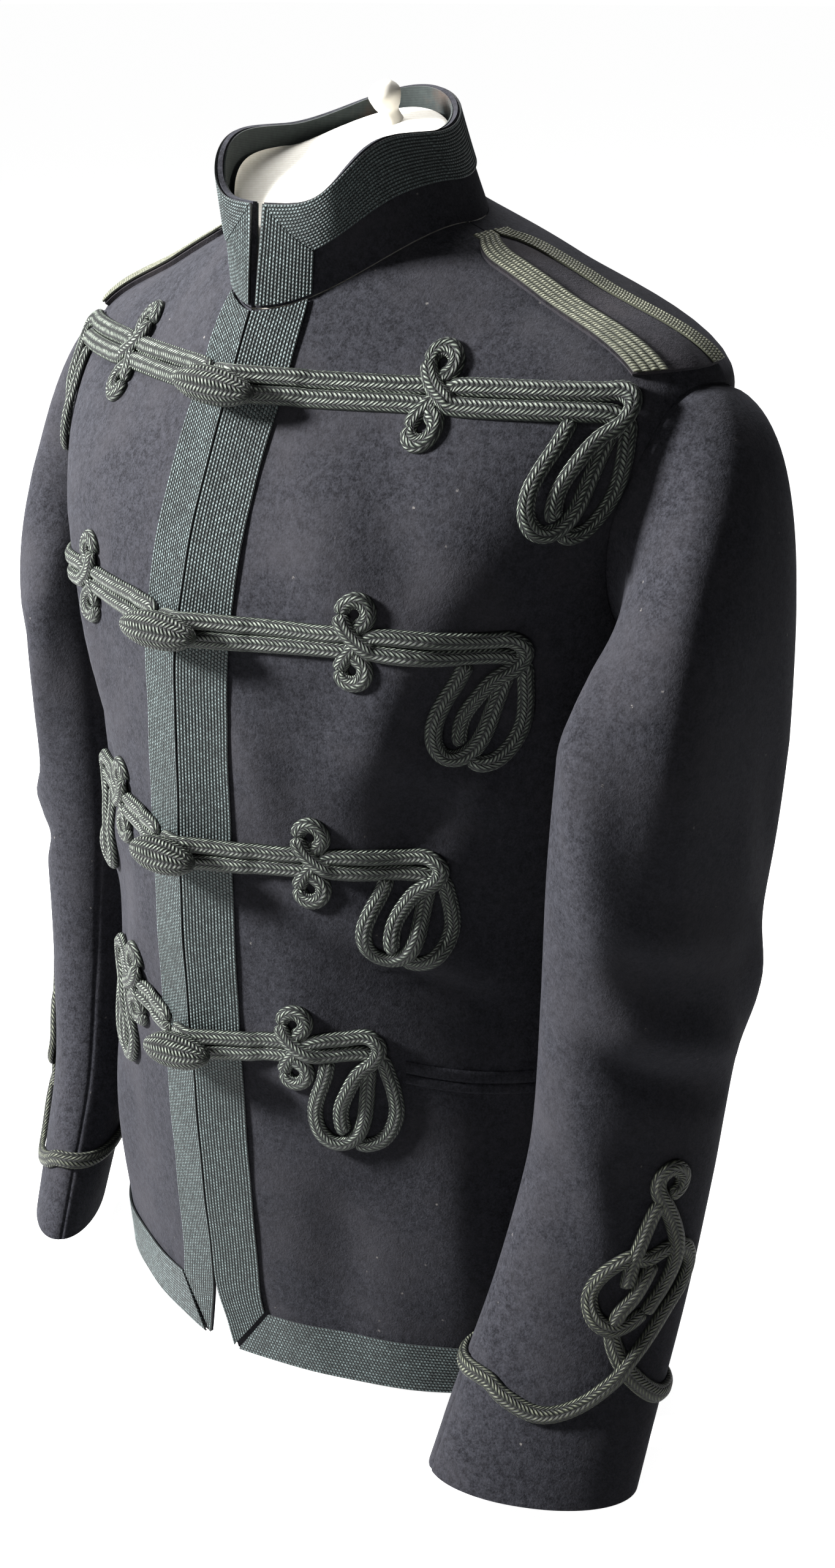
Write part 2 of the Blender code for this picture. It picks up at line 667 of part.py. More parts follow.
class Sleeve:
    """One sleeve as rings from the cuff up to the armhole, on the left or mirrored."""

    def __init__(self, table, side, name):
        """Keep the table of sections, the side and the name."""
        self.table = table
        self.side = side
        self.name = name
        self.last = len(table) - 1.0

    def section(self, level, turns):
        """Points of a level below the cap, at turns from outward towards the back."""
        row = dict(zip(SLEEVE_COLUMNS, smooth_row(self.table, level)))
        local = np.radians(turns - row["turn"])
        power = 2.0 / row["power"]
        along = row["long"] * np.sign(np.cos(local)) * np.abs(np.cos(local)) ** power
        across = row["short"] * np.sign(np.sin(local)) * np.abs(np.sin(local)) ** power
        angle = math.radians(row["turn"])
        x = row["x"] + along * math.cos(angle) - across * math.sin(angle)
        y = row["y"] + along * math.sin(angle) + across * math.cos(angle)
        return np.stack([x, y, np.full_like(x, row["z"])], -1)

    def armhole(self, turns):
        """Points of the armhole seam: 0 at the shoulder point, 180 at the armpit."""
        placed = []
        for turn in turns:
            angle = math.radians(turn)
            level = ARMPIT + (SHOULDER - ARMPIT) * (1.0 + math.cos(angle)) / 2.0
            ring = ring_at(level)
            reach = ARMHOLE_BACKWARD if math.sin(angle) > 0.0 else ARMHOLE_FORWARD
            y = seam_y(level) + reach * math.sin(angle)
            placed.append(ring_points(ring, [turn_of_y(ring, y)])[0])
        return np.array(placed) + np.array(ARMHOLE_STEP)

    def surface(self, level, turns):
        """Points at a level: the table's rows, then one more level up the sleeve head."""
        turns = np.asarray(turns, dtype=float)
        if level <= self.last:
            return self.section(level, turns)
        share = level - self.last
        low = self.section(self.last, turns)
        high = self.armhole(turns)
        reach = np.linalg.norm(high - low, axis=1)[:, None]
        leave = low + np.array([0.0, 0.0, 1.0]) * reach * CAP_DROP
        arrive = high + np.array(CAP_DIRECTION) * reach * CAP_BULGE
        rest = 1.0 - share
        return (rest ** 3 * low + 3.0 * rest ** 2 * share * leave
                + 3.0 * rest * share ** 2 * arrive + share ** 3 * high)

    def frames(self, level, turns):
        """Points and outward normals at a level and turns."""
        turns = np.asarray(turns, dtype=float)
        along = self.surface(level, turns + TURN_REACH) - self.surface(level, turns - TURN_REACH)
        above = self.surface(min(level + LEVEL_REACH, self.last + 1.0), turns)
        below = self.surface(max(level - LEVEL_REACH, 0.0), turns)
        return list(zip(self.surface(level, turns), crossed(along, above - below)))

    def build(self):
        """The top sleeve and the under sleeve."""
        levels = list(np.arange(0.0, self.last + 0.5))
        levels += [self.last + k / CAP_LEVELS for k in range(1, CAP_LEVELS + 1)]
        for part, start, end, count in (
                ("top", FRONT_SEAM_TURN - 360.0, HIND_SEAM_TURN, TOP_SLEEVE_COLUMNS),
                ("under", HIND_SEAM_TURN, FRONT_SEAM_TURN, UNDER_SLEEVE_COLUMNS)):
            turns = np.linspace(start + SLEEVE_SEAM_TURN, end - SLEEVE_SEAM_TURN, count)
            rows = [self.frames(level, turns) for level in levels]
            laid(f"sleeve_{part}_{self.name}", rows, self.side, -CLOTH, 0.0, WOOL)

    def point(self, round_mm, height):
        """Point on the cuff from the knot's middle line, round and up, left side."""
        heights = [row[0] for row in self.table]
        level = float(np.interp(height, heights, np.arange(len(heights))))
        low = min(int(level), len(heights) - 2)
        turns = KNOT_TURN + np.linspace(-KNOT_REACH, KNOT_REACH, CUFF_STEPS)
        part = level - low
        points = self.section(low, turns) * (1.0 - part) + self.section(low + 1, turns) * part
        length = np.concatenate([[0.0], np.cumsum(np.linalg.norm(np.diff(points, axis=0),
                                                                 axis=1))])
        length -= length[len(length) // 2]
        return np.array([np.interp(round_mm, length, points[:, k]) for k in range(3)])

    def frame(self, round_mm, rise):
        """Point and outward normal at a distance round and up from the knot's crossing."""
        height = KNOT_Z + rise * KNOT_RISE
        along = self.point(round_mm + REACH, height) - self.point(round_mm - REACH, height)
        upward = self.point(round_mm, height + REACH) - self.point(round_mm, height - REACH)
        return self.point(round_mm, height), crossed(along, upward)


class Strip:
    """One strand of cord laid flat: its centre line with lifts and its two edges."""

    def __init__(self, route, longest):
        """Space the route and set its edges half a cord's width out."""
        places = smooth_curve([(*point, 0.0)[:3] for point in route], longest, CORD_SHARPEST)
        steps = np.diff(places[:, :2], axis=0)
        steps /= np.linalg.norm(steps, axis=1)[:, None]
        along = np.concatenate([steps[:1], steps[:-1] + steps[1:], steps[-1:]])
        along /= np.linalg.norm(along, axis=1)[:, None]
        across = np.stack([-along[:, 1], along[:, 0]], 1) * CORD_WIDTH / 2.0
        self.left = places[:, :2] + across
        self.right = places[:, :2] - across
        self.centre = places.copy()
        self.centre[0, :2] += steps[0] * CORD_END_INSET
        self.centre[-1, :2] -= steps[-1] * CORD_END_INSET

    def triangles(self):
        """The strip as triangles that all turn the same way."""
        found = []
        for k in range(len(self.left) - 1):
            for corners in ((self.right[k], self.right[k + 1], self.left[k + 1]),
                            (self.right[k], self.left[k + 1], self.left[k])):
                area = loop_area(np.array(corners))
                if abs(area) > STRIP_SMALLEST:
                    found.append(corners if area > 0.0 else corners[::-1])
        return found


def open_edges(faces):
    """Directed edges that only one face uses."""
    directed = {(face[k], face[(k + 1) % len(face)]) for face in faces for k in range(len(face))}
    return {start: end for start, end in directed if (end, start) not in directed}


def covered(points, triangles):
    """Mark each point that lies inside any of a set of triangles."""
    sides = np.roll(triangles, -1, axis=1) - triangles
    reach = points[:, None, None, :] - triangles[None]
    turning = sides[None, ..., 0] * reach[..., 1] - sides[None, ..., 1] * reach[..., 0]
    return (turning > 0.0).all(axis=2).any(axis=1)


def loop_area(loop):
    """Signed area of a closed flat loop."""
    after = np.roll(loop, -1, axis=0)
    return float((loop[:, 0] * after[:, 1] - loop[:, 1] * after[:, 0]).sum()) / 2.0


def outlines(triangles):
    """Closed outlines of the area that flat triangles cover together."""
    points = [Vector(point) for triangle in triangles for point in triangle]
    faces = [tuple(range(3 * k, 3 * k + 3)) for k in range(len(triangles))]
    found, _, cells, _, _, _ = delaunay_2d_cdt(points, [], faces, 0, WELD)
    corners = np.array([[found[index] for index in cell] for cell in cells])
    kept = covered(corners.mean(axis=1), np.array(triangles))
    following = open_edges([cell for cell, keep in zip(cells, kept) if keep])
    loops = []
    while following:
        start, at = next(iter(following.items()))
        loop = [start]
        while at != start:
            loop.append(at)
            at = following.pop(at)
        following.pop(start, None)
        spaced = []
        for index in loop:
            point = np.array(found[index])
            if not spaced or np.linalg.norm(point - spaced[-1]) > CORD_SHORTEST:
                spaced.append(point)
        if np.linalg.norm(spaced[0] - spaced[-1]) < CORD_SHORTEST:
            spaced.pop()
        spaced = np.array(spaced)
        if len(spaced) > 2 and abs(loop_area(spaced)) > CORD_SMALLEST_HOLE:
            loops.append(spaced)
    return loops


def within(point, loops):
    """True when a point lies inside an odd number of closed loops."""
    crossings = 0
    for loop in loops:
        after = np.roll(loop, -1, axis=0)
        spans = (loop[:, 1] > point[1]) != (after[:, 1] > point[1])
        rise = np.where(spans, after[:, 1] - loop[:, 1], 1.0)
        meets = loop[:, 0] + (point[1] - loop[:, 1]) * (after[:, 0] - loop[:, 0]) / rise
        crossings += int((spans & (meets > point[0])).sum())
    return crossings % 2 == 1


def applique(name, routes, frame, side, base_of, longest):
    """Strands of cord joined flat into one sewn-down piece with a raised middle line."""
    strips = [Strip(route, longest) for route in routes]
    loops = outlines([corners for strip in strips for corners in strip.triangles()])
    points = []
    edges = []
    for loop in loops:
        first = len(points)
        points += [Vector(point) for point in loop]
        edges += [(first + k, first + (k + 1) % len(loop)) for k in range(len(loop))]
    for strip in strips:
        first = len(points)
        points += [Vector(point[:2]) for point in strip.centre]
        edges += [(first + k, first + k + 1) for k in range(len(strip.centre) - 1)]
    flat, _, cells, _, _, _ = delaunay_2d_cdt(points, edges, [], 0, WELD)
    cells = [cell for cell in cells
             if within(np.mean([flat[index] for index in cell], axis=0), loops)]
    rim = open_edges(cells)
    ridges = np.concatenate([strip.centre for strip in strips])
    builder = bmesh.new()
    low = {}
    high = {}
    for index in sorted({index for cell in cells for index in cell}):
        distance, rise = flat[index]
        here, normal = frame(distance, rise)
        base = base_of(distance)
        crown = base + CORD_EDGE
        if index not in rim:
            away = np.linalg.norm(ridges[:, :2] - np.array(flat[index]), axis=1)
            crown = base + CORD_THICKNESS + ridges[away < away.min() + CREST_REACH, 2].max()
        low[index] = builder.verts.new(mirrored(here + normal * base, side))
        high[index] = builder.verts.new(mirrored(here + normal * crown, side))
    for cell in cells:
        builder.faces.new([high[index] for index in cell])
        builder.faces.new([low[index] for index in reversed(cell)])
    for start, end in rim.items():
        builder.faces.new((low[start], low[end], high[end], high[start]))
    bmesh.ops.triangulate(builder, faces=builder.faces)
    bmesh.ops.recalc_face_normals(builder, faces=builder.faces)
    new_object(name, builder, CORD)


def eased(value, start, end):
    """Share from 0 to 1 between two values, eased at both ends."""
    share = min(1.0, max(0.0, (value - start) / (end - start)))
    return share * share * (3.0 - 2.0 * share)


def frog_base(row, distance):
    """Height of a cord's underside: over the wide braid near the centre, then the cloth."""
    inner, outer = CORD_STEP_DOWN
    ease = eased(abs(distance), BRAID_WIDTH + inner, BRAID_WIDTH + outer)
    crest = CORD_CREST * (1.0 - eased(abs(distance), 0.0, CORD_CREST_RUN))
    foot = row["foot_lift"] * eased(abs(distance), row["eye_s"], row["end_s"] + FOOT_LEFT[0][0])
    return CORD_BASE_ON_BRAID * (1.0 - ease) + LIFT_GAP * ease + crest + foot


def row_height(row, distance):
    """Height of a frogging row's middle line at a distance from the centre front."""
    return float(np.interp(distance, [0.0, row["eye_s"], row["end_s"]],
                           [row["centre_z"], row["eye_z"], row["end_z"]]))


def foot_points(points, row):
    """A crow's foot strand, sized and leaned for its row."""
    placed = []
    for across, rise in points:
        rise = rise * row["foot_tall"]
        lean = row["foot_lean"] * min(0.0, rise + FOOT_LEAN_START)
        placed.append((row["end_s"] + across * row["foot_wide"] + lean, rise))
    return placed


def eye_arc(centre_s, offset, arc, lift):
    """Points round an eye above the line, or below it where the offset is negative."""
    placed = []
    for angle in np.linspace(*arc):
        turn = math.radians(angle)
        placed.append((centre_s + EYE_RADIUS * math.cos(turn),
                       offset + math.copysign(EYE_RADIUS, offset) * math.sin(turn), lift))
    return placed


def beside(place, points):
    """Points given along the row from a place on it."""
    return [(place + across, rise, lift) for across, rise, lift in points]


def strand_in(row, start, way):
    """A strand from the centre out to its eye, above the line or below it."""
    eye = row["eye_s"]
    lane = way * LANE_OFFSET
    turn_in = start + TURN_IN
    points = [(start, way * TURN_RISE, 0.0), (turn_in, lane, 0.0),
              ((turn_in + eye) / 2.0, lane, 0.0), (eye - EYE_APPROACH, lane, 0.0)]
    return points + eye_arc(eye, way * EYE_OFFSET, EYE_ARC, 0.0)


def frog_routes(row, start):
    """The five strands of one frogging row, in distance and height above its line."""
    eye = row["eye_s"]
    end = row["end_s"]
    half_way = (eye + end) / 2.0 + HALF_WAY_SHIFT
    upper_out = eye_arc(eye, EYE_OFFSET, EYE_EXIT_ARC, OVER_LIFT)
    upper_out += beside(eye, UPPER_EXIT) + [(half_way, -LANE_OFFSET, 0.0)]
    upper_out += beside(end, UPPER_END) + [(*point, 0.0) for point in foot_points(FOOT_RIGHT, row)]
    lower_out = eye_arc(eye, -EYE_OFFSET, EYE_EXIT_ARC, LOWER_EXIT_LIFT)
    lower_out += beside(eye, LOWER_EXIT) + [(half_way, LANE_OFFSET, 0.0)]
    lower_out += beside(end, LOWER_END)
    depth, lift = MIDDLE_CROSSING
    lower_out += [(across, rise, OVER_LIFT if rise > depth else lift)
                  for across, rise in foot_points(FOOT_MIDDLE, row)]
    depth, lift = LEFT_CROSSING
    left = [(across, rise, lift if rise < depth else 0.0)
            for across, rise in foot_points(FOOT_LEFT, row)]
    return [strand_in(row, start, 1.0), strand_in(row, start, -1.0), upper_out, lower_out, left]


def frogging():
    """Four rows of looped cord on each front."""
    for number, values in enumerate(FROGS, start=1):
        row = dict(zip(FROG_COLUMNS, values))

        def frame(distance, rise, row=row):
            return BODY.frame(distance, row_height(row, distance) + rise)

        def base(distance, row=row):
            return frog_base(row, distance)

        for side, name, start in ((1.0, "left", -LOOP_REACH), (-1.0, "right", RIGHT_START)):
            applique(f"frog_{number}_{name}", frog_routes(row, start), frame, side, base,
                     CORD_LONGEST)


def cuff_knots(sleeves):
    """The knotted cord round each cuff."""
    routes = []
    for points in (KNOT_SWEEP, KNOT_RETURN, KNOT_STEM, KNOT_SPUR):
        routes.append([(across, rise, 0.0) for across, rise in points])
    for sleeve in sleeves:
        applique(f"cuff_knot_{sleeve.name}", routes, sleeve.frame, sleeve.side,
                 lambda distance: KNOT_BASE, KNOT_LONGEST)


def toggles():
    """A spindle-shaped toggle over the loop of each row."""
    lift = CORD_BASE_ON_BRAID + CORD_CREST + CORD_THICKNESS + LIFT_GAP + TOGGLE_RADIUS
    for number, (values, toggle_values) in enumerate(zip(FROGS, TOGGLES), start=1):
        row = dict(zip(FROG_COLUMNS, values))
        toggle = dict(zip(TOGGLE_COLUMNS, toggle_values))
        here, normal = BODY.frame(toggle["shift"], row["centre_z"] + toggle["raised_by"])
        normal = np.array([normal[0] * TOGGLE_FACING, normal[1], 0.0])
        normal /= np.linalg.norm(normal)
        centre = here + normal * (lift - toggle["sunk_by"])
        along = np.cross(normal, (0.0, 0.0, 1.0))
        tilt = math.radians(toggle["tilt"])
        axis = Vector(along * math.cos(tilt) + np.array([0.0, 0.0, math.sin(tilt)]))
        profile = bmesh.new()
        bmesh.ops.create_uvsphere(profile, u_segments=TOGGLE_TURNS, v_segments=TOGGLE_RINGS,
                                  radius=1.0)
        for vert in profile.verts:
            taper = 1.0 - TOGGLE_TAPER * vert.co.z ** 2
            vert.co = Vector((vert.co.x * TOGGLE_RADIUS * taper, vert.co.y * TOGGLE_RADIUS * taper,
                              vert.co.z * toggle["length"] / 2.0))
        turn = Vector((0.0, 0.0, 1.0)).rotation_difference(axis).to_matrix()
        bmesh.ops.rotate(profile, verts=profile.verts, cent=(0.0, 0.0, 0.0), matrix=turn)
        bmesh.ops.translate(profile, verts=profile.verts, vec=Vector(centre))
        new_object(f"toggle_{number}", profile, CORD)


def strap_place(level, depth):
    """Point and normal on top of the shoulder, between the rows of the panels."""
    def at(step, y):
        after = int(np.searchsorted(BODY.levels, step, side="right"))
        after = min(after, len(BODY.levels) - 1)
        low, high = BODY.levels[after - 1], BODY.levels[after]
        part = (step - low) / (high - low)
        ends = [ring_points(ring_at(end), [turn_of_y(ring_at(end), y)])[0] for end in (low, high)]
        return ends[0] * (1.0 - part) + ends[1] * part

    inward = at(level + LEVEL_REACH, depth) - at(level - LEVEL_REACH, depth)
    across = at(level, depth + REACH) - at(level, depth - REACH)
    return at(level, depth), crossed(across, inward)


def strap_half_width(level):
    """Half of a strap's width at a level: it narrows to a rounded neck end."""
    share = (level - STRAP_OUTER_LEVEL) / (STRAP_NECK_LEVEL - STRAP_OUTER_LEVEL)
    half = STRAP_HALF_WIDTH + (STRAP_NECK_HALF_WIDTH - STRAP_HALF_WIDTH) * share
    tip = max(0.0, (level - STRAP_NECK_LEVEL) / STRAP_TIP + 1.0)
    return half * math.sqrt(max(STRAP_TIP_SHARE, 1.0 - tip ** 2 * (1.0 - STRAP_TIP_SHARE)))


def strap_rows(spread):
    """Rows of a strap from the sleeve end to the neck, spread giving the offsets across."""
    straight = np.linspace(STRAP_OUTER_LEVEL, STRAP_NECK_LEVEL - STRAP_TIP, STRAP_STRAIGHT_ROWS)
    rounded = STRAP_NECK_LEVEL - STRAP_TIP * (1.0 - np.sin(np.linspace(*STRAP_TIP_TURNS)))
    return [[strap_place(level, ring_at(level)["centre_y"] + offset) for offset in spread(level)]
            for level in np.concatenate([straight, rounded])]


def strap_spread(level):
    """Offsets across a strap, one of them on the shoulder seam."""
    half = strap_half_width(level)
    return np.concatenate([np.linspace(STRAP_SHIFT_Y - half, 0.0, 3),
                           np.linspace(0.0, STRAP_SHIFT_Y + half, 3)[1:]])


def strap_braid_spread(edge):
    """Offsets of the braid along one edge of a strap."""
    def spread(level):
        outer = max(strap_half_width(level) - SEAM_GAP, STRAP_BRAID_WIDTH)
        inner = max(outer - STRAP_BRAID_WIDTH, 2.0 * SEAM_GAP)
        return STRAP_SHIFT_Y + np.linspace(outer, inner, 3) * edge

    return spread


def shoulder_straps():
    """A strap on each shoulder with a narrower braid along its edges."""
    top = STRAP_LIFT + STRAP_THICKNESS
    braid = top + LIFT_GAP
    for side, name in ((1.0, "left"), (-1.0, "right")):
        laid(f"shoulder_strap_{name}", strap_rows(strap_spread), side, STRAP_LIFT, top, WOOL)
        for edge, place in ((-1.0, "front"), (1.0, "back")):
            laid(f"strap_braid_{place}_{name}", strap_rows(strap_braid_spread(edge)), side, braid,
                 braid + STRAP_BRAID_THICKNESS, KHAKI)


def pockets():
    """Two narrow welts at the mouth of each side pocket."""
    for top, height, part in ((0.0, UPPER_WELT, "upper"),
                              (UPPER_WELT + WELT_GAP, LOWER_WELT, "lower")):
        rows = []
        for drop in (top, top + height):
            row = []
            for share in np.linspace(0.0, 1.0, WELT_COLUMNS):
                fall = POCKET_DROP * (1.0 - (1.0 - share) ** 2)
                row.append(BODY.frame(POCKET_START + POCKET_LENGTH * share,
                                      POCKET_FRONT_Z - fall - drop))
            rows.append(row)
        for side, name in ((1.0, "left"), (-1.0, "right")):
            laid(f"pocket_{part}_welt_{name}", rows, side, LIFT_GAP, LIFT_GAP + WELT_THICKNESS,
                 WOOL)


def form_inset(level, turns):
    """Distances from the jacket's outer face in to the form, least on the shoulder line."""
    low = min(1.0, max(0.0, (SHOULDER - FORM_SLACK_TOP - level) / FORM_SLACK_RUN))
    away = np.abs(np.cos(np.radians(turns))) ** FORM_SHOULDER_POWER
    return CLOTH + FORM_CLEARANCE + FORM_SLACK * low + FORM_FRONT_SLACK * away * (1.0 - low)


def dress_form():
    """The padded torso and neck."""
    half = np.linspace(0.0, 1.0, FORM_SIDES // 4 + 1)
    levels = list(np.linspace(FORM_BOTTOM, ARMPIT, FORM_ROWS))
    levels += list(BODY.levels[BODY.levels > ARMPIT])
    rows = []
    for level in levels:
        ring = ring_at(level)
        turns = np.concatenate([arc_turns(ring, 0.0, 90.0, half),
                                arc_turns(ring, 90.0, 180.0, half)[1:]])
        points, normals = ring_frames(level, turns)
        normals[0] = normals[0] * np.array([0.0, 1.0, 1.0])
        inner = points - normals * form_inset(level, turns)[:, None]
        inner[[0, -1], 0] = 0.0
        rows.append(inner)
    rows[0][:, 2] = rows[0][:, 2].min()
    shares = np.linspace(0.0, 1.0, FORM_SIDES // 2 + 1)
    inside = COLLAR_WALL + COLLAR_LINING + LIFT_GAP + NECK_CLEARANCE
    for share in (0.0, NECK_TOP_SHARE / 2.0, NECK_TOP_SHARE):
        neck = collar_row(share, -inside, shares)
        neck[[0, -1], 0] = 0.0
        rows.append(neck)
    top = rows[-1]
    middle = np.array([0.0, (top[0, 1] + top[-1, 1]) / 2.0])
    slope = (top[-1, 2] - top[0, 2]) / (top[-1, 1] - top[0, 1])
    for scale, flatness in NECK_CAP:
        ring = top.copy()
        ring[:, :2] = middle + (top[:, :2] - middle) * scale
        plane = top[0, 2] + (ring[:, 1] - top[0, 1]) * slope + NECK_CAP_RISE
        ring[:, 2] = top[:, 2] * (1.0 - flatness) + plane * flatness
        rows.append(ring)
    whole = [np.concatenate([row, mirrored(row[::-1], -1.0)]) for row in rows]
    builder = grid_mesh(len(whole[0]), len(whole), whole, around=True)
    bmesh.ops.holes_fill(builder, edges=[edge for edge in builder.edges if edge.is_boundary])
    bmesh.ops.recalc_face_normals(builder, faces=builder.faces)
    new_object("dress_form", builder, LINEN)
    return whole


def turned(name, profile, finish, sides):
    """A turned piece: a profile of radius and height, top to bottom, about an upright axis."""
    builder = bmesh.new()
    ring = [builder.verts.new((radius, 0.0, height)) for radius, height in profile]
    edges = [builder.edges.new(pair) for pair in zip(ring[:-1], ring[1:])]
    bmesh.ops.spin(builder, geom=ring + edges, cent=(0.0, 0.0, 0.0), axis=(0.0, 0.0, 1.0),
                   angle=math.tau, steps=sides, use_merge=True)
    bmesh.ops.remove_doubles(builder, verts=builder.verts, dist=WELD)
    bmesh.ops.recalc_face_normals(builder, faces=builder.faces)
    return new_object(name, builder, finish)


def form_fittings(form_rows):
    """The finial on the neck and the foot under the torso."""
    bottom = min(point[2] for point in form_rows[0])
    turned("form_foot", ((0.0, bottom - SEAM_GAP), (POST_RADIUS, bottom - SEAM_GAP),
                         (POST_RADIUS, FOOT_HEIGHT + FOOT_STEP),
                         (POST_RADIUS + POST_FLARE, FOOT_HEIGHT),
                         (FOOT_RADIUS - FOOT_STEP, FOOT_HEIGHT),
                         (FOOT_RADIUS, FOOT_HEIGHT - FOOT_STEP),
                         (FOOT_RADIUS, 0.0), (0.0, 0.0)), PAINT, FOOT_TURNS)
    cap = np.asarray(form_rows[-1])
    back = cap[np.argmax(cap[:, 1])]
    front = cap[np.argmin(cap[:, 1])]
    lean = math.atan2(back[2] - front[2], back[1] - front[1])
    seat = cap.mean(axis=0) + np.array([0.0, KNOB_BACK, KNOB_BACK * math.tan(lean)])
    seat += np.array([0.0, -math.sin(lean), math.cos(lean)]) * SEAM_GAP
    finial = turned("form_finial", KNOB_PROFILE, PAINT, KNOB_TURNS)
    finial.data.transform(Matrix.Translation(Vector(seat * MM)) @ Matrix.Rotation(lean, 4, "X"))


FRONT = front_grid()
BACK = back_grid()
body_panels(FRONT, BACK)
collar()
front_braids(FRONT)
hem_braid(FRONT, BACK)
SLEEVES = (Sleeve(LEFT_SLEEVE, 1.0, "left"), Sleeve(RIGHT_SLEEVE, -1.0, "right"))
for one in SLEEVES:
    one.build()
frogging()
cuff_knots(SLEEVES)
toggles()
shoulder_straps()
pockets()
form_fittings(dress_form())
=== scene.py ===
"""Looks of the braided patrol jacket and of the dress form that it stands on.

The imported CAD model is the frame. Tables are in millimetres and meshes in metres. The
jacket's front faces -Y and the wearer's left is +X.
"""

import logging
import math
from dataclasses import dataclass
from enum import Enum
from typing import Callable, Iterable, Sequence

import bmesh
import bpy
import numpy as np
from mathutils import Matrix, Vector


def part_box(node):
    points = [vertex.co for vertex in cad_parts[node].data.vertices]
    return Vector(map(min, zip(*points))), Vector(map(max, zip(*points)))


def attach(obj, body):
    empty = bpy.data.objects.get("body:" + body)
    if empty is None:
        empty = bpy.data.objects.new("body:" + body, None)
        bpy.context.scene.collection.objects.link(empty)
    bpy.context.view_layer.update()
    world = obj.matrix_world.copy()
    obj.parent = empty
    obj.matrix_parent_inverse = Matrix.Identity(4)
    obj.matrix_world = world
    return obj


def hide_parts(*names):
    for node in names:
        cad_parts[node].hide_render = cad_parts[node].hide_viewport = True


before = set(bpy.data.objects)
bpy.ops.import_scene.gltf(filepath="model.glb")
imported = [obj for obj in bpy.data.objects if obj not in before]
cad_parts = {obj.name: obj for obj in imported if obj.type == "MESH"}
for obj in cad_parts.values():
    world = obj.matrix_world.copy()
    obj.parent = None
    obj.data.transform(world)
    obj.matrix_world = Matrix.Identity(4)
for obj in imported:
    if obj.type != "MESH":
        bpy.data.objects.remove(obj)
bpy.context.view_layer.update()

LOG = logging.getLogger("patrol_jacket")
MM = 0.001
FOLD_DEPTH = 2.3
BODY = "root"
Rows = np.ndarray
Frames = tuple[np.ndarray, np.ndarray]

RING_COLUMNS = ("side_z", "front_z", "back_z", "half_width", "front_y", "back_y",
                "centre_y", "front_power", "back_power", "ridge", "ridge_width")
RINGS = (
    (22.0, 27.0, 20.0, 178.0, -138.0, 112.0, -12.0, 1.85, 2.2, 6.0, 45.0),
    (90.0, 92.0, 88.0, 181.0, -141.0, 117.0, -12.0, 1.85, 2.2, 8.0, 45.0),
    (155.0, 155.0, 155.0, 180.0, -145.0, 117.0, -13.0, 1.85, 2.2, 9.0, 45.0),
    (222.0, 222.0, 222.0, 173.0, -148.0, 106.0, -14.0, 1.80, 2.2, 10.0, 45.0),
    (285.0, 285.0, 285.0, 168.0, -150.0, 96.0, -15.0, 1.80, 2.2, 11.0, 45.0),
    (345.0, 345.0, 345.0, 173.0, -150.0, 100.0, -15.0, 1.80, 2.2, 12.0, 45.0),
    (410.0, 408.0, 410.0, 180.0, -149.0, 108.0, -15.0, 1.90, 2.2, 12.0, 45.0),
    (465.0, 465.0, 470.0, 183.0, -147.0, 114.0, -13.0, 2.05, 2.3, 12.0, 45.0),
    (535.0, 529.0, 548.0, 194.0, -131.0, 112.0, -6.0, 2.55, 2.5, 12.0, 45.0),
    (607.0, 594.0, 628.0, 218.0, -106.0, 95.0, 2.0, 1.55, 2.5, 9.0, 40.0),
    (645.0, 615.0, 668.0, 143.0, -97.0, 72.0, 2.0, 1.65, 2.2, 9.0, 35.0),
    (676.0, 634.0, 691.0, 69.0, -84.0, 50.0, -2.0, 2.00, 2.0, 13.0, 30.0),
)
HEM = 0.0
ARMPIT = 7.0
SHOULDER = 9.0
NECK = float(len(RINGS) - 1)
COLLAR_TOP = dict(side_z=722.0, front_z=688.0, back_z=742.0, half_width=53.0, front_y=-81.0,
                  back_y=41.0, centre_y=-17.0, front_power=4.6, back_power=2.0, ridge=11.0,
                  ridge_width=34.0)
SLEEVE_COLUMNS = ("z", "x", "y", "long", "short", "turn", "power")
LEFT_SLEEVE = (
    (12.0, 206.0, -104.0, 59.0, 32.0, 28.0, 2.1),
    (55.0, 208.0, -87.0, 57.0, 33.0, 30.0, 2.1),
    (115.0, 211.0, -62.0, 54.0, 35.0, 36.0, 2.1),
    (180.0, 216.0, -46.0, 52.0, 38.0, 46.0, 2.1),
    (222.0, 219.0, -41.0, 53.0, 40.0, 56.0, 2.1),
    (289.0, 222.0, -36.0, 58.0, 43.0, 70.0, 2.2),
    (365.0, 229.0, -35.0, 66.0, 46.0, 80.0, 2.3),
    (425.0, 232.0, -32.0, 71.0, 46.0, 88.0, 2.4),
)
RIGHT_SLEEVE = (
    (26.0, 202.0, -88.0, 60.0, 22.0, 49.0, 2.1),
    (66.0, 206.0, -71.0, 59.0, 24.0, 50.0, 2.1),
    (120.0, 213.0, -46.0, 57.0, 28.0, 54.0, 2.1),
    (180.0, 222.0, -28.0, 55.0, 33.0, 60.0, 2.1),
    (222.0, 224.0, -20.0, 56.0, 36.0, 66.0, 2.1),
    (289.0, 223.0, -13.0, 59.0, 40.0, 74.0, 2.2),
    (365.0, 219.0, -9.0, 65.0, 38.0, 82.0, 2.3),
    (425.0, 221.0, -6.0, 69.0, 36.0, 88.0, 2.4),
)
FOOT_LEFT = ((-25, -7), (-27, -17), (-31, -28), (-33, -38), (-31, -48), (-25, -55), (-17, -56.5),
             (-10, -52), (-6.5, -44), (-5, -34), (-4, -22), (-3, -13))
FOOT_MIDDLE = ((2.5, -4), (-1, -10), (-9, -16), (-15, -26), (-18.5, -36), (-18, -46), (-15, -50))
FOOT_RIGHT = ((4, -10), (7, -17), (10, -27), (11.5, -38), (9, -48), (3, -56), (-5, -58.5),
              (-11, -56))
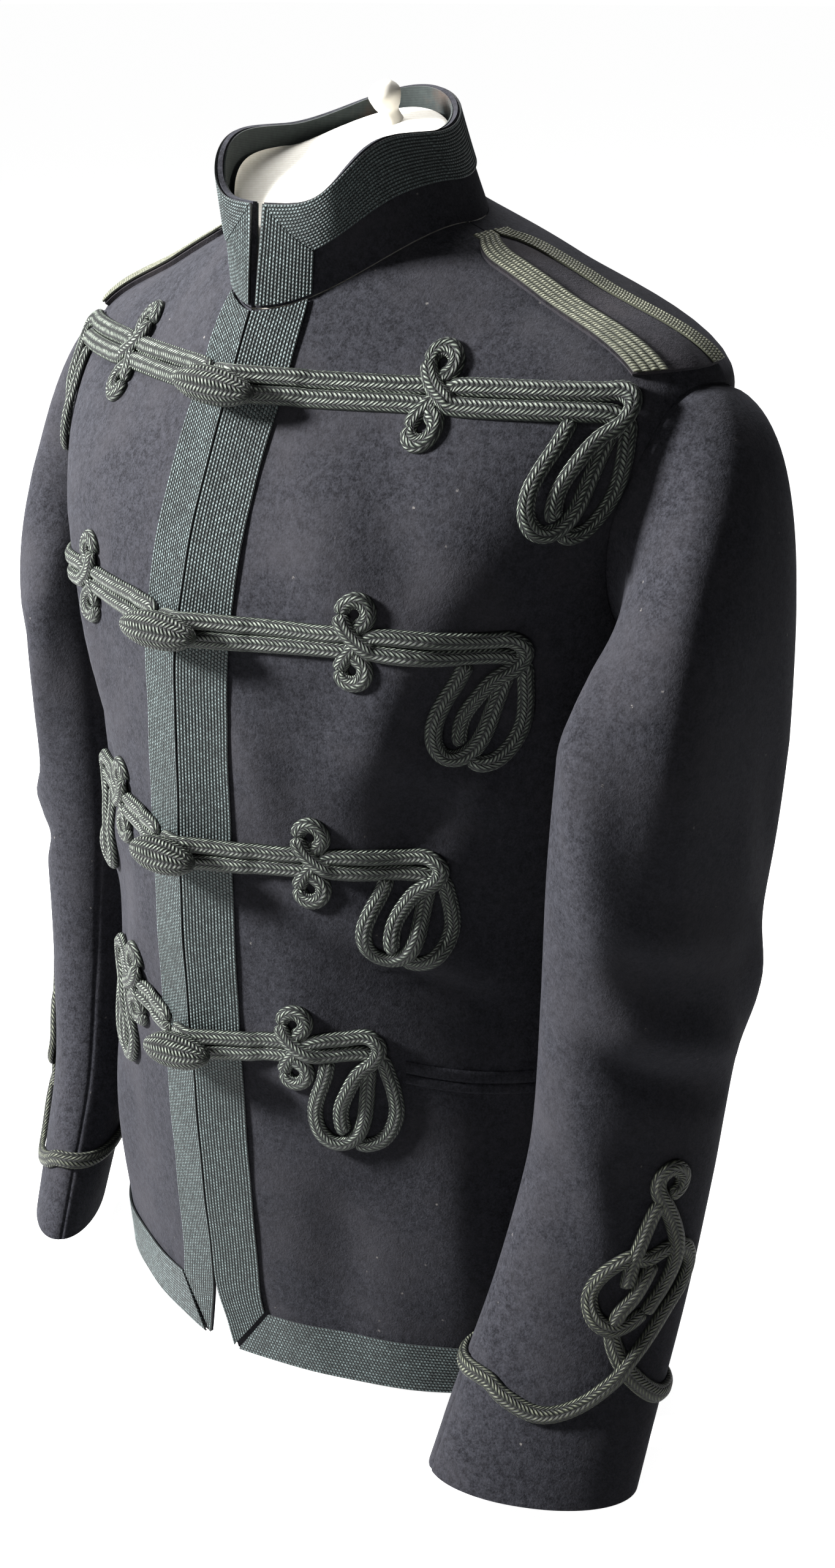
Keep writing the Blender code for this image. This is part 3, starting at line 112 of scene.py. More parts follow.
KNOT_SWEEP = ((-148, -13), (-120, -15), (-96, -15), (-72, -14), (-59, -19), (-37, -24), (-18, -18),
              (-3, -5), (3, 5), (11, 16), (18, 29), (26, 41), (28, 52), (22, 61), (11, 63),
              (0, 59), (-11, 61), (-22, 53), (-27, 40), (-22, 28), (-12, 22), (-2, 24), (5, 30))
KNOT_RETURN = ((143, -15), (120, -17), (90, -18), (60, -20), (36, -19), (24, -16), (8, -5),
               (-3, 6), (-10, 18), (-10, 29), (-4, 39), (0, 49), (4, 57))
KNOT_STEM = ((5, 28), (8, 34), (13, 43), (15.5, 54), (15, 66), (10, 79), (3, 90), (-1.5, 98),
             (-0.5, 105), (6, 109), (12, 104), (11, 97), (5, 94))
KNOT_SPUR = ((-8.5, 44), (-8.5, 57), (-6, 69), (-2, 84), (2, 91))


class Side(Enum):
    """The wearer's left and right."""

    LEFT = 1.0
    RIGHT = -1.0

    @property
    def word(self) -> str:
        """The side's name in a piece name."""
        return self.name.lower()


class Held(Enum):
    """How a sheet of cloth is held."""

    DRAPED = "draped"
    LAID = "laid"


@dataclass(frozen=True)
class Cut:
    """The flat size of a cut piece of cloth, in metres and square metres."""

    width: float
    length: float
    area: float
    rests_on: tuple[str, ...]
    sewn_on: tuple[str, ...] = ()
    held: Held = Held.DRAPED


# ---- smooth tables -------------------------------------------------------------------------


def smooth_row(table: Sequence, at: float) -> np.ndarray:
    """Read a table between its rows with a Catmull-Rom curve.

    Args:
        table: rows of numbers.
        at: the row to read, which may lie between two.

    Returns:
        One row of numbers.
    """
    rows = np.asarray(table, dtype=float)
    last = len(rows) - 1
    at = min(max(at, 0.0), float(last))
    low = min(int(at), last - 1)
    part = at - low
    before = rows[max(low - 1, 0)]
    start = rows[low]
    end = rows[low + 1]
    after = rows[min(low + 2, last)]
    slope_start = (end - before) / 2.0 if low > 0 else end - start
    slope_end = (after - start) / 2.0 if low + 2 <= last else end - start
    square = part * part
    cube = square * part
    return ((2 * cube - 3 * square + 1) * start + (cube - 2 * square + part) * slope_start
            + (3 * square - 2 * cube) * end + (cube - square) * slope_end)


def spaced_curve(points: Sequence, spacing: float) -> np.ndarray:
    """Run a Catmull-Rom curve through points and space it evenly.

    Args:
        points: rows of flat place and lift.
        spacing: distance between two points of the result.

    Returns:
        The curve's points.
    """
    table = np.asarray(points, dtype=float)
    dense = np.array([smooth_row(table, at)
                      for at in np.linspace(0.0, len(table) - 1.0, 16 * len(table))])
    steps = np.linalg.norm(np.diff(dense[:, :2], axis=0), axis=1)
    length = np.concatenate([[0.0], np.cumsum(steps)])
    wanted = np.linspace(0.0, length[-1], max(4, int(length[-1] / spacing)))
    return np.stack([np.interp(wanted, length, dense[:, k]) for k in range(table.shape[1])], 1)


def eased(value: np.ndarray, start: float, end: float) -> np.ndarray:
    """Share from 0 to 1 between two values, eased at both ends."""
    share = np.clip((np.asarray(value, dtype=float) - start) / (end - start), 0.0, 1.0)
    return share * share * (3.0 - 2.0 * share)


def unit(vectors: np.ndarray) -> np.ndarray:
    """Vectors brought to length one."""
    return vectors / np.maximum(np.linalg.norm(vectors, axis=-1)[..., None], 1e-9)


def edge_spaced(total: float, count: int, at_start: bool, at_end: bool) -> np.ndarray:
    """Distances across a panel, closer together beside its seams.

    Args:
        total: the whole distance.
        count: how many even columns lie between the seams.
        at_start: whether the first edge is a seam.
        at_end: whether the last edge is a seam.

    Returns:
        Growing distances from 0 to the total.
    """
    close = np.array([0.0, 0.9, 1.9, 3.2, 5.0])
    low = close if at_start else np.array([0.0])
    high = (total - close)[::-1] if at_end else np.array([total])
    middle = np.linspace(low[-1], high[0], count + 2)[1:-1]
    return np.concatenate([low, middle, high])


# ---- the body's surface --------------------------------------------------------------------


def ring_at(level: float) -> dict[str, float]:
    """The body ring at a level."""
    return dict(zip(RING_COLUMNS, smooth_row(RINGS, level)))


def ring_points(ring: dict[str, float], turns: np.ndarray) -> np.ndarray:
    """Points of a ring at turns from 0 at the centre front to 180 at the centre back."""
    turns = np.radians(np.asarray(turns, dtype=float))
    sine = np.sin(turns)
    cosine = np.cos(turns)
    front = cosine >= 0.0
    power = np.where(front, ring["front_power"], ring["back_power"])
    across = ring["half_width"] * np.sign(sine) * np.abs(sine) ** (2.0 / power)
    depth = np.where(front, ring["front_y"] - ring["centre_y"], ring["back_y"] - ring["centre_y"])
    along = ring["centre_y"] + depth * np.abs(cosine) ** (2.0 / power)
    along = along - np.where(front, ring["ridge"] * np.exp(-np.abs(across) / ring["ridge_width"]),
                             0.0)
    ends = np.where(front, ring["front_z"], ring["back_z"])
    height = ring["side_z"] * sine ** 2 + ends * cosine ** 2
    return np.stack([across, along, height], -1)


def turn_of_y(ring: dict[str, float], y: float) -> float:
    """Turn at which a ring passes a given depth, the ridge left out."""
    if y <= ring["centre_y"]:
        share = (y - ring["centre_y"]) / (ring["front_y"] - ring["centre_y"])
        return math.degrees(math.acos(min(1.0, share) ** (ring["front_power"] / 2.0)))
    share = (y - ring["centre_y"]) / (ring["back_y"] - ring["centre_y"])
    return 180.0 - math.degrees(math.acos(min(1.0, share) ** (ring["back_power"] / 2.0)))


def turn_of_x(ring: dict[str, float], x: float) -> float:
    """Turn at which the front of a ring passes a given distance from the centre."""
    return math.degrees(math.asin(min(1.0, x / ring["half_width"]) ** (ring["front_power"] / 2.0)))


def armhole_bell(level: float) -> float:
    """Share of the armhole's depth at a level, 0 outside it."""
    share = (level - ARMPIT) / (SHOULDER - ARMPIT)
    if share <= 0.0 or share >= 1.0:
        return 0.0
    return math.sqrt(1.0 - (1.0 - 2.0 * share) ** 2)


def arc(ring: dict[str, float], start: float, end: float) -> tuple[np.ndarray, np.ndarray]:
    """Dense turns between two turns of a ring, and the length run at each."""
    turns = np.linspace(start, end, 241)
    points = ring_points(ring, turns)
    steps = np.linalg.norm(np.diff(points, axis=0), axis=1)
    return turns, np.concatenate([[0.0], np.cumsum(steps)])


@dataclass(frozen=True)
class Fold:
    """One soft fold on a flat map: a line from start to end, its half width and its rise."""

    start: tuple[float, float]
    end: tuple[float, float]
    width: float
    rise: float

    def height(self, across: np.ndarray, up: np.ndarray) -> np.ndarray:
        """How far the fold lifts the cloth at places of the map."""
        start = np.array(self.start)
        line = np.array(self.end) - start
        share = ((across - start[0]) * line[0] + (up - start[1]) * line[1]) / (line @ line)
        share = np.clip(share, 0.0, 1.0)
        away = np.hypot(across - start[0] - share * line[0], up - start[1] - share * line[1])
        fade = 0.35 + 0.65 * np.sin(np.pi * share)
        return self.rise * fade * np.exp(-(away / self.width) ** 2)


def folded(folds: Iterable[Fold], across: np.ndarray, up: np.ndarray) -> np.ndarray:
    """The lift of all folds together."""
    total = np.zeros_like(np.asarray(across, dtype=float) + np.asarray(up, dtype=float))
    for fold in folds:
        total = total + FOLD_DEPTH * fold.height(across, up)
    return total


class FlatMap:
    """A surface unrolled to a distance across and a height, on an even grid."""

    STEP = 2.0

    def __init__(self, lengths: list[np.ndarray], points: list[np.ndarray]) -> None:
        """Regrid rows of points that run across, from the lowest row up."""
        start = min(length[0] for length in lengths)
        end = max(length[-1] for length in lengths)
        self.start = start
        self.across = np.arange(start, end + self.STEP, self.STEP)
        table = np.array([[np.interp(self.across, length, row[:, k]) for k in range(3)]
                          for length, row in zip(lengths, points)])
        self.low = table[0, 2]
        self.high = table[-1, 2]
        self.bottom = float(table[:, 2].min())
        heights = np.arange(self.bottom, float(table[:, 2].max()) + self.STEP, self.STEP)
        self.totals = np.array([length[-1] for length in lengths])
        self.total_heights = np.array([row[-1, 2] for row in points])
        grid = np.empty((len(heights), len(self.across), 3))
        for column in range(len(self.across)):
            for k in range(3):
                grid[:, column, k] = np.interp(heights, table[:, 2, column], table[:, k, column])
            grid[:, column, 2] = heights
        self.grid = grid
        self.normals = unit(np.cross(np.gradient(grid, axis=1), np.gradient(grid, axis=0)))

    def read(self, field: np.ndarray, across: np.ndarray, up: np.ndarray) -> np.ndarray:
        """Read a field of the grid between its points."""
        column = np.clip((across - self.start) / self.STEP, 0.0, len(self.across) - 1.001)
        row = np.clip((up - self.bottom) / self.STEP, 0.0, len(self.grid) - 1.001)
        column_low = column.astype(int)
        row_low = row.astype(int)
        column_part = (column - column_low)[..., None]
        row_part = (row - row_low)[..., None]
        low = (field[row_low, column_low] * (1.0 - column_part)
               + field[row_low, column_low + 1] * column_part)
        high = (field[row_low + 1, column_low] * (1.0 - column_part)
                + field[row_low + 1, column_low + 1] * column_part)
        return low * (1.0 - row_part) + high * row_part

    def frames(self, across: np.ndarray, up: np.ndarray) -> Frames:
        """Points and outward normals at distances and heights."""
        across, up = np.broadcast_arrays(np.asarray(across, float), np.asarray(up, float))
        return self.read(self.grid, across, up), unit(self.read(self.normals, across, up))


@dataclass(frozen=True)
class BodySizes:
    """Seams and openings of the body."""

    front_half_gap: float = 1.0
    hem_half_gap: float = 12.0
    slit_top: float = 0.85
    side_seam_y: float = 6.0
    armhole_forward: float = 38.0
    armhole_backward: float = 64.0
    seam_gap: float = 0.06
    cloth: float = 2.0
    seam_dip: float = 0.7
    seam_reach: float = 2.2
    rows: int = 118


# Folds of the body, by distance round from the centre front (wearer's left positive) and height
BODY_FOLDS = (
    Fold((150.0, 500.0), (95.0, 395.0), 20.0, 3.4),
    Fold((172.0, 470.0), (120.0, 340.0), 16.0, -3.0),
    Fold((55.0, 560.0), (110.0, 470.0), 22.0, 2.0),
    Fold((95.0, 575.0), (140.0, 500.0), 18.0, -1.8),
    Fold((40.0, 430.0), (58.0, 370.0), 15.0, 1.8),
    Fold((85.0, 330.0), (180.0, 285.0), 14.0, 2.8),
    Fold((100.0, 302.0), (190.0, 262.0), 11.0, -2.4),
    Fold((120.0, 420.0), (185.0, 390.0), 14.0, 2.4),
    Fold((60.0, 300.0), (90.0, 180.0), 20.0, 1.8),
    Fold((150.0, 200.0), (165.0, 60.0), 24.0, 2.6),
    Fold((90.0, 170.0), (85.0, 50.0), 22.0, -2.0),
    Fold((230.0, 240.0), (215.0, 50.0), 24.0, 2.6),
    Fold((300.0, 330.0), (320.0, 120.0), 26.0, 2.4),
    Fold((250.0, 470.0), (330.0, 400.0), 20.0, 2.6),
    Fold((250.0, 420.0), (330.0, 350.0), 16.0, -2.2),
    Fold((-150.0, 500.0), (-90.0, 400.0), 20.0, 2.8),
    Fold((-165.0, 460.0), (-110.0, 350.0), 16.0, -2.4),
    Fold((-95.0, 330.0), (-170.0, 285.0), 15.0, 2.4),
    Fold((-60.0, 300.0), (-85.0, 180.0), 20.0, 1.8),
    Fold((-120.0, 190.0), (-135.0, 60.0), 24.0, 2.4),
    Fold((-230.0, 240.0), (-220.0, 50.0), 24.0, 2.4),
    Fold((-300.0, 330.0), (-315.0, 120.0), 26.0, 2.4),
    Fold((-250.0, 470.0), (-330.0, 400.0), 20.0, 2.6),
)


class BodySurface:
    """The outer face of the jacket's body with its folds."""

    def __init__(self, sizes: BodySizes, folds: Sequence[Fold]) -> None:
        """Keep the sizes and folds, and unroll both halves."""
        self.sizes = sizes
        self.folds = folds
        self.maps = {side: self.unroll(side) for side in Side}

    def front_gap(self, level: float) -> float:
        """Half of the gap between the fronts at a level."""
        share = max(0.0, (self.sizes.slit_top - level) / self.sizes.slit_top)
        spread = self.sizes.hem_half_gap - self.sizes.front_half_gap
        return self.sizes.front_half_gap + spread * share ** 1.3

    def seam_y(self, level: float) -> float:
        """Depth of the side seam, and of the shoulder seam above it."""
        share = min(1.0, max(0.0, (level - ARMPIT) / (SHOULDER - ARMPIT)))
        return self.sizes.side_seam_y * (1.0 - share) + ring_at(level)["centre_y"] * share

    def points(self, level: float, turns: np.ndarray, side: Side) -> np.ndarray:
        """Folded points of the left half, or of the right half turned over to the left.

        Args:
            level: the body level.
            turns: turns from the centre front.
            side: whose folds to use.

        Returns:
            Points with x positive.
        """
        turns = np.asarray(turns, dtype=float)
        ring = ring_at(level)
        here = ring_points(ring, turns)
        along = ring_points(ring, turns + 0.4) - ring_points(ring, turns - 0.4)
        above = ring_points(ring_at(min(level + 0.03, NECK)), turns)
        below = ring_points(ring_at(max(level - 0.03, HEM)), turns)
        normal = unit(np.cross(along, above - below))
        dense, length = arc(ring, 0.0, 180.0)
        across = np.interp(turns, dense, length) * side.value
        return here + normal * folded(self.folds, across, here[:, 2])[:, None]

    def unroll(self, side: Side) -> FlatMap:
        """The flat map of one half."""
        lengths = []
        rows = []
        for level in np.linspace(HEM, NECK, 111):
            turns, length = arc(ring_at(level), 0.0, 180.0)
            lengths.append(length)
            rows.append(self.points(level, turns, side))
        return FlatMap(lengths, rows)

    def frames(self, across: np.ndarray, up: np.ndarray) -> Frames:
        """Points and normals at signed distances from the centre front and heights."""
        across, up = np.broadcast_arrays(np.asarray(across, float), np.asarray(up, float))
        points, normals = self.maps[Side.LEFT].frames(np.abs(across), up)
        other_points, other_normals = self.maps[Side.RIGHT].frames(np.abs(across), up)
        flip = np.array([-1.0, 1.0, 1.0])
        left = (across >= 0.0)[..., None]
        return (np.where(left, points, other_points * flip),
                np.where(left, normals, other_normals * flip))


# ---- meshes --------------------------------------------------------------------------------


def grid_builder(placed: Rows, texture: Rows) -> bmesh.types.BMesh:
    """Map a flat grid onto rows of points, with its own flat coordinates for patterns.

    Args:
        placed: points by row and column, in millimetres.
        texture: two pattern coordinates by row and column.

    Returns:
        An open skin whose faces point along columns x rows.
    """
    rows, columns = placed.shape[:2]
    builder = bmesh.new()
    bmesh.ops.create_grid(builder, x_segments=columns - 1, y_segments=rows - 1, size=1.0)
    layer = builder.loops.layers.uv.new("weave")
    places = []
    for vert in builder.verts:
        column = int(round((vert.co.x + 1.0) / 2.0 * (columns - 1)))
        row = int(round((vert.co.y + 1.0) / 2.0 * (rows - 1)))
        places.append((row, column))
        vert.co = placed[row, column] * MM
    builder.verts.index_update()
    for face in builder.faces:
        for loop in face.loops:
            loop[layer].uv = texture[places[loop.vert.index]]
    return builder


def turned_over(field: Rows, side: Side) -> Rows:
    """Rows of points of a left piece, or the same mirrored with their columns reversed."""
    if side is Side.LEFT:
        return field
    return field[:, ::-1] * np.array([-1.0, 1.0, 1.0])


class Piece:
    """Makes objects that ride on the body and stand for CAD nodes."""

    made: dict[str, bpy.types.Object] = {}

    @staticmethod
    def add(name: str, builder: bmesh.types.BMesh, finish: "Finish", nodes: Sequence[str],
            slot: str, wall: float = 0.0, sharp: float = 45.0) -> bpy.types.Object:
        """Turn a bmesh into a named, finished object.

        Args:
            name: the piece's name.
            builder: its mesh, in metres; an open skin where wall is given.
            finish: its finish.
            nodes: the CAD nodes that it replaces.
            slot: the record's material slot; not used.
            wall: thickness of cloth to give it, inwards, in millimetres.
            sharp: angle above which an edge is shaded sharp.

        Returns:
            The object.
        """
        mesh = bpy.data.meshes.new(name)
        builder.to_mesh(mesh)
        builder.free()
        made = bpy.data.objects.new(name, mesh)
        bpy.context.scene.collection.objects.link(made)
        if wall:
            solidify = made.modifiers.new("wall", "SOLIDIFY")
            solidify.thickness = wall * MM
            solidify.offset = -1.0
            graph = bpy.context.evaluated_depsgraph_get()
            baked = bpy.data.meshes.new_from_object(made.evaluated_get(graph))
            made.modifiers.clear()
            made.data = baked
            bpy.data.meshes.remove(mesh)
            baked.name = name
        made.data.materials.clear()
        made.data.materials.append(finish.material())
        made.data.shade_smooth()
        made.data.set_sharp_from_angle(angle=math.radians(sharp))
        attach(made, BODY)
        if nodes:
            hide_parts(*nodes)
        Piece.made[name] = made
        LOG.info("%s: %d faces", name, len(made.data.polygons))
        return made

    @staticmethod
    def skin(name: str, placed: Rows, texture: Rows, finish: "Finish", nodes: Sequence[str],
             slot: str, wall: float) -> bpy.types.Object:
        """A cloth piece from one skin of points and its thickness."""
        return Piece.add(name, grid_builder(placed, texture), finish, nodes, slot, wall)


# ---- finishes ------------------------------------------------------------------------------


class Nodes:
    """Short words for building a material's node tree."""

    def __init__(self, name: str, roughness: float) -> None:
        """Start a material with its Principled shader."""
        self.material = bpy.data.materials.new(name)
        self.material.use_nodes = True
        self.tree = self.material.node_tree
        self.shader = self.tree.nodes["Principled BSDF"]
        self.shader.inputs["Roughness"].default_value = roughness

    def put(self, socket: bpy.types.NodeSocket, value: object) -> None:
        """Link a socket, or set its value."""
        if isinstance(value, bpy.types.NodeSocket):
            self.tree.links.new(value, socket)
        else:
            socket.default_value = value

    def math(self, operation: str, *values: object) -> bpy.types.NodeSocket:
        """A Math node's result."""
        node = self.tree.nodes.new("ShaderNodeMath")
        node.operation = operation
        for socket, value in zip(node.inputs, values):
            self.put(socket, value)
        return node.outputs[0]

    def place(self) -> bpy.types.NodeSocket:
        """Object coordinates."""
        return self.tree.nodes.new("ShaderNodeTexCoord").outputs["Object"]

    def weave(self) -> tuple[bpy.types.NodeSocket, bpy.types.NodeSocket]:
        """The piece's own two pattern coordinates."""
        source = self.tree.nodes.new("ShaderNodeUVMap")
        source.uv_map = "weave"
        split = self.tree.nodes.new("ShaderNodeSeparateXYZ")
        self.put(split.inputs[0], source.outputs[0])
        return split.outputs[0], split.outputs[1]

    def noise(self, scale: float, detail: float = 3.0, rough: float = 0.55,
              where: bpy.types.NodeSocket | None = None) -> bpy.types.NodeSocket:
        """A noise between 0 and 1 on Object coordinates."""
        node = self.tree.nodes.new("ShaderNodeTexNoise")
        self.put(node.inputs["Vector"], where or self.place())
        node.inputs["Scale"].default_value = scale
        node.inputs["Detail"].default_value = detail
        node.inputs["Roughness"].default_value = rough
        return node.outputs["Fac"]

    def mapped(self, value: bpy.types.NodeSocket, low: float, high: float,
               to_low: float = 0.0, to_high: float = 1.0) -> bpy.types.NodeSocket:
        """A value brought from one range to another, clamped."""
        node = self.tree.nodes.new("ShaderNodeMapRange")
        self.put(node.inputs["Value"], value)
        for key, number in (("From Min", low), ("From Max", high), ("To Min", to_low),
                            ("To Max", to_high)):
            node.inputs[key].default_value = number
        return node.outputs[0]

    def mix(self, share: object, first: object, second: object) -> bpy.types.NodeSocket:
        """A mix of two colours."""
        node = self.tree.nodes.new("ShaderNodeMix")
        node.data_type = "RGBA"
        colours = [socket for socket in node.inputs if socket.type == "RGBA"]
        self.put(node.inputs[0], share)
        for socket, colour in zip(colours, (first, second)):
            self.put(socket, (*colour, 1.0) if isinstance(colour, tuple) else colour)
        return next(socket for socket in node.outputs if socket.type == "RGBA")

    def bump(self, height: bpy.types.NodeSocket, depth: float,
             under: bpy.types.NodeSocket | None = None) -> bpy.types.NodeSocket:
        """A bump of a depth in millimetres, over another."""
        node = self.tree.nodes.new("ShaderNodeBump")
        node.inputs["Distance"].default_value = depth * MM
        self.put(node.inputs["Height"], height)
        if under is not None:
            self.put(node.inputs["Normal"], under)
        return node.outputs[0]

    def finish(self, colour: bpy.types.NodeSocket, normal: bpy.types.NodeSocket,
               sheen: float = 0.0, sheen_tint: tuple[float, float, float] = (1.0, 1.0, 1.0),
               specular: float = 0.5) -> bpy.types.Material:
        """Connect colour and normal, and set the sheen on the shader itself."""
        self.put(self.shader.inputs["Base Color"], colour)
        self.put(self.shader.inputs["Normal"], normal)
        self.shader.inputs["Sheen Weight"].default_value = sheen
        self.shader.inputs["Sheen Roughness"].default_value = 0.5
        self.shader.inputs["Sheen Tint"].default_value = (*sheen_tint, 1.0)
        self.shader.inputs["Specular IOR Level"].default_value = specular
        return self.material


@dataclass(frozen=True)
class Finish:
    """What every finish has: a name and a material made once."""

    name: str

    def material(self) -> bpy.types.Material:
        """The finish's material."""
        return bpy.data.materials.get(self.name) or self.build()

    def build(self) -> bpy.types.Material:
        """Build the material."""
        raise NotImplementedError


@dataclass(frozen=True)
class Felt(Finish):
    """Milled wool with a fine felted grain, mottling and a little pale lint."""

    dark: tuple[float, float, float]
    light: tuple[float, float, float]
    warm: tuple[float, float, float]
    lint: float = 0.5

    def build(self) -> bpy.types.Material:
        """Build the wool."""
        nodes = Nodes(self.name, 0.92)
        grain = nodes.noise(800.0, 3.0, 0.75)
        clump = nodes.noise(260.0, 3.0, 0.6)
        mottle = nodes.noise(17.0, 4.0, 0.6)
        pile = nodes.math("ADD", nodes.math("MULTIPLY", grain, 0.6),
                          nodes.math("MULTIPLY", clump, 0.4))
        colour = nodes.mix(nodes.mapped(pile, 0.38, 0.62), self.dark, self.light)
        worn = nodes.mapped(mottle, 0.45, 0.75, 0.0, 0.75)
        colour = nodes.mix(worn, colour, self.warm)
        fleck = nodes.tree.nodes.new("ShaderNodeTexVoronoi")
        nodes.put(fleck.inputs["Vector"], nodes.place())
        fleck.inputs["Scale"].default_value = 150.0
        split = nodes.tree.nodes.new("ShaderNodeSeparateColor")
        nodes.put(split.inputs[0], fleck.outputs["Color"])
        chosen = nodes.math("GREATER_THAN", split.outputs[0], 0.955)
        near = nodes.mapped(fleck.outputs["Distance"], 0.07, 0.15, 1.0, 0.0)
        shape = nodes.math("MULTIPLY", near, nodes.mapped(grain, 0.42, 0.55))
        lint = nodes.math("MULTIPLY", nodes.math("MULTIPLY", chosen, shape), self.lint)
        colour = nodes.mix(lint, colour, (0.30, 0.28, 0.26))
        normal = nodes.bump(pile, 0.6)
        return nodes.finish(colour, normal, 0.08, (0.55, 0.56, 0.66), 0.16)


@dataclass(frozen=True)
class Plait(Finish):
    """Plaited cord: columns of short slanted stitches that turn from column to column, its gaps painted
    dark as painted shade and its crests painted pale as a painted highlight.
    """

    # gap: painted shade for the hollows between stitches, also the tone of the random darker patches
    gap: tuple[float, float, float]
    thread: tuple[float, float, float]
    # the third colour is a painted highlight for the stitch crests
    painted_highlight: tuple[float, float, float]
    slant: float = 1.5
    depth: float = 0.7

    def build(self) -> bpy.types.Material:
        """Build the plait."""
        nodes = Nodes(self.name, 0.62)
        across, along = nodes.weave()
        part = nodes.math("FRACT", across)
        column = nodes.math("FLOOR", across)
        odd = nodes.math("MODULO", column, 2.0)
        way = nodes.math("SUBTRACT", 1.0, nodes.math("MULTIPLY", odd, 2.0))
        lean = nodes.math("MULTIPLY", nodes.math("SUBTRACT", part, 0.5), self.slant)
        phase = nodes.math("FRACT", nodes.math("ADD", along, nodes.math("MULTIPLY", way, lean)))
        ridge = nodes.math("SINE", nodes.math("MULTIPLY", phase, math.pi))
        swell = nodes.math("SINE", nodes.math("MULTIPLY", part, math.pi))
        height = nodes.math("MULTIPLY", nodes.math("POWER", ridge, 0.85),
                            nodes.math("POWER", swell, 0.5))
        uneven = nodes.noise(420.0, 2.0)
        tone = nodes.math("ADD", height, nodes.mapped(uneven, 0.3, 0.7, -0.18, 0.18))
        # Painted shade: the low parts of the stitch pattern take the dark gap colour
        colour = nodes.mix(nodes.mapped(tone, 0.50, 0.84), self.gap, self.thread)
        # Painted highlight: the crests of the stitches take the pale third colour
        colour = nodes.mix(nodes.mapped(tone, 0.74, 1.02, 0.0, 0.95), colour, self.painted_highlight)
        patches = nodes.noise(38.0, 3.0)
        colour = nodes.mix(nodes.mapped(patches, 0.5, 0.8, 0.0, 0.4), colour, self.gap)
        normal = nodes.bump(height, self.depth, nodes.bump(uneven, 0.12))
        return nodes.finish(colour, normal, 0.02, (0.8, 0.9, 0.8), 0.3)


@dataclass(frozen=True)
class Rib(Finish):
    """Ribbed braid: lengthwise ribs of stacked short stitches, the grooves painted dark as painted
    shade and the crests painted pale as a painted highlight.
    """

    # gap: painted shade for the grooves between ribs and stitches, also the tone of the random darker
    # patches
    gap: tuple[float, float, float]
    thread: tuple[float, float, float]
    # the third colour is a painted highlight for the rib crests
    painted_highlight: tuple[float, float, float]
    depth: float = 0.55

    def build(self) -> bpy.types.Material:
        """Build the ribs."""
        nodes = Nodes(self.name, 0.6)
        across, along = nodes.weave()
        part = nodes.math("FRACT", across)
        odd = nodes.math("MODULO", nodes.math("FLOOR", across), 2.0)
        shift = nodes.math("MULTIPLY", odd, 0.5)
        bow = nodes.math("MULTIPLY", nodes.math("ABSOLUTE", nodes.math("SUBTRACT", part, 0.5)), 0.5)
        step = nodes.math("ADD", nodes.math("ADD", along, shift), bow)
        stitch = nodes.math("SINE", nodes.math("MULTIPLY", nodes.math("FRACT", step), math.pi))
        swell = nodes.math("SINE", nodes.math("MULTIPLY", part, math.pi))
        height = nodes.math("MULTIPLY", nodes.math("POWER", stitch, 0.6),
                            nodes.math("POWER", swell, 0.6))
        uneven = nodes.noise(380.0, 2.0)
        tone = nodes.math("ADD", height, nodes.mapped(uneven, 0.3, 0.7, -0.2, 0.2))
        # Painted shade: the low parts of the rib pattern take the dark gap colour
        colour = nodes.mix(nodes.mapped(tone, 0.40, 0.84), self.gap, self.thread)
        # Painted highlight: the crests of the ribs take the pale third colour
        colour = nodes.mix(nodes.mapped(tone, 0.76, 1.05, 0.0, 0.95), colour, self.painted_highlight)
        patches = nodes.noise(30.0, 3.0)
        colour = nodes.mix(nodes.mapped(patches, 0.48, 0.78, 0.0, 0.45), colour, self.gap)
        normal = nodes.bump(height, self.depth, nodes.bump(uneven, 0.1))
        return nodes.finish(colour, normal, 0.06, (0.75, 0.85, 0.85), 0.35)


@dataclass(frozen=True)
class Twill(Finish):
    """A plain woven cloth, with worn patches."""

    base: tuple[float, float, float]
    thread: tuple[float, float, float]
    worn: tuple[float, float, float]
    count: float = 900.0
    patch: float = 0.5
    depth: float = 0.12

    def build(self) -> bpy.types.Material:
        """Build the weave."""
        nodes = Nodes(self.name, 0.8)
        where = nodes.place()
        split = nodes.tree.nodes.new("ShaderNodeSeparateXYZ")
        nodes.put(split.inputs[0], where)
        level = nodes.math("SINE", nodes.math("MULTIPLY", split.outputs[2], self.count * 5.0))
        side = nodes.math("ADD", split.outputs[0], split.outputs[1])
        upright = nodes.math("SINE", nodes.math("MULTIPLY", side, self.count * 5.0))
        weave = nodes.mapped(nodes.math("ADD", level, upright), -2.0, 2.0)
        slub = nodes.noise(300.0, 3.0)
        tone = nodes.math("ADD", nodes.math("MULTIPLY", weave, 0.5),
                          nodes.math("MULTIPLY", slub, 0.5))
        colour = nodes.mix(nodes.mapped(tone, 0.3, 0.7), self.base, self.thread)
        wear = nodes.mapped(nodes.noise(26.0, 4.0, 0.65), 0.56, 0.72, 0.0, self.patch)
        colour = nodes.mix(wear, colour, self.worn)
        return nodes.finish(colour, nodes.bump(tone, self.depth), 0.1, (1.0, 1.0, 1.0), 0.3)


@dataclass(frozen=True)
class Painted(Finish):
    """Brush-painted wood or a pale floor."""

    base: tuple[float, float, float]
    shade: tuple[float, float, float]
    roughness: float
    scale: float
    glow: float = 0.0

    def build(self) -> bpy.types.Material:
        """Build the paint."""
        nodes = Nodes(self.name, self.roughness)
        cloudy = nodes.noise(self.scale, 4.0, 0.6)
        fine = nodes.noise(self.scale * 12.0, 3.0, 0.6)
        colour = nodes.mix(nodes.mapped(cloudy, 0.35, 0.7), self.base, self.shade)
        nodes.shader.inputs["Emission Color"].default_value = (1.0, 1.0, 1.0, 1.0)
        nodes.shader.inputs["Emission Strength"].default_value = self.glow
        return nodes.finish(colour, nodes.bump(fine, 0.08), 0.0, (1.0, 1.0, 1.0), 0.4)


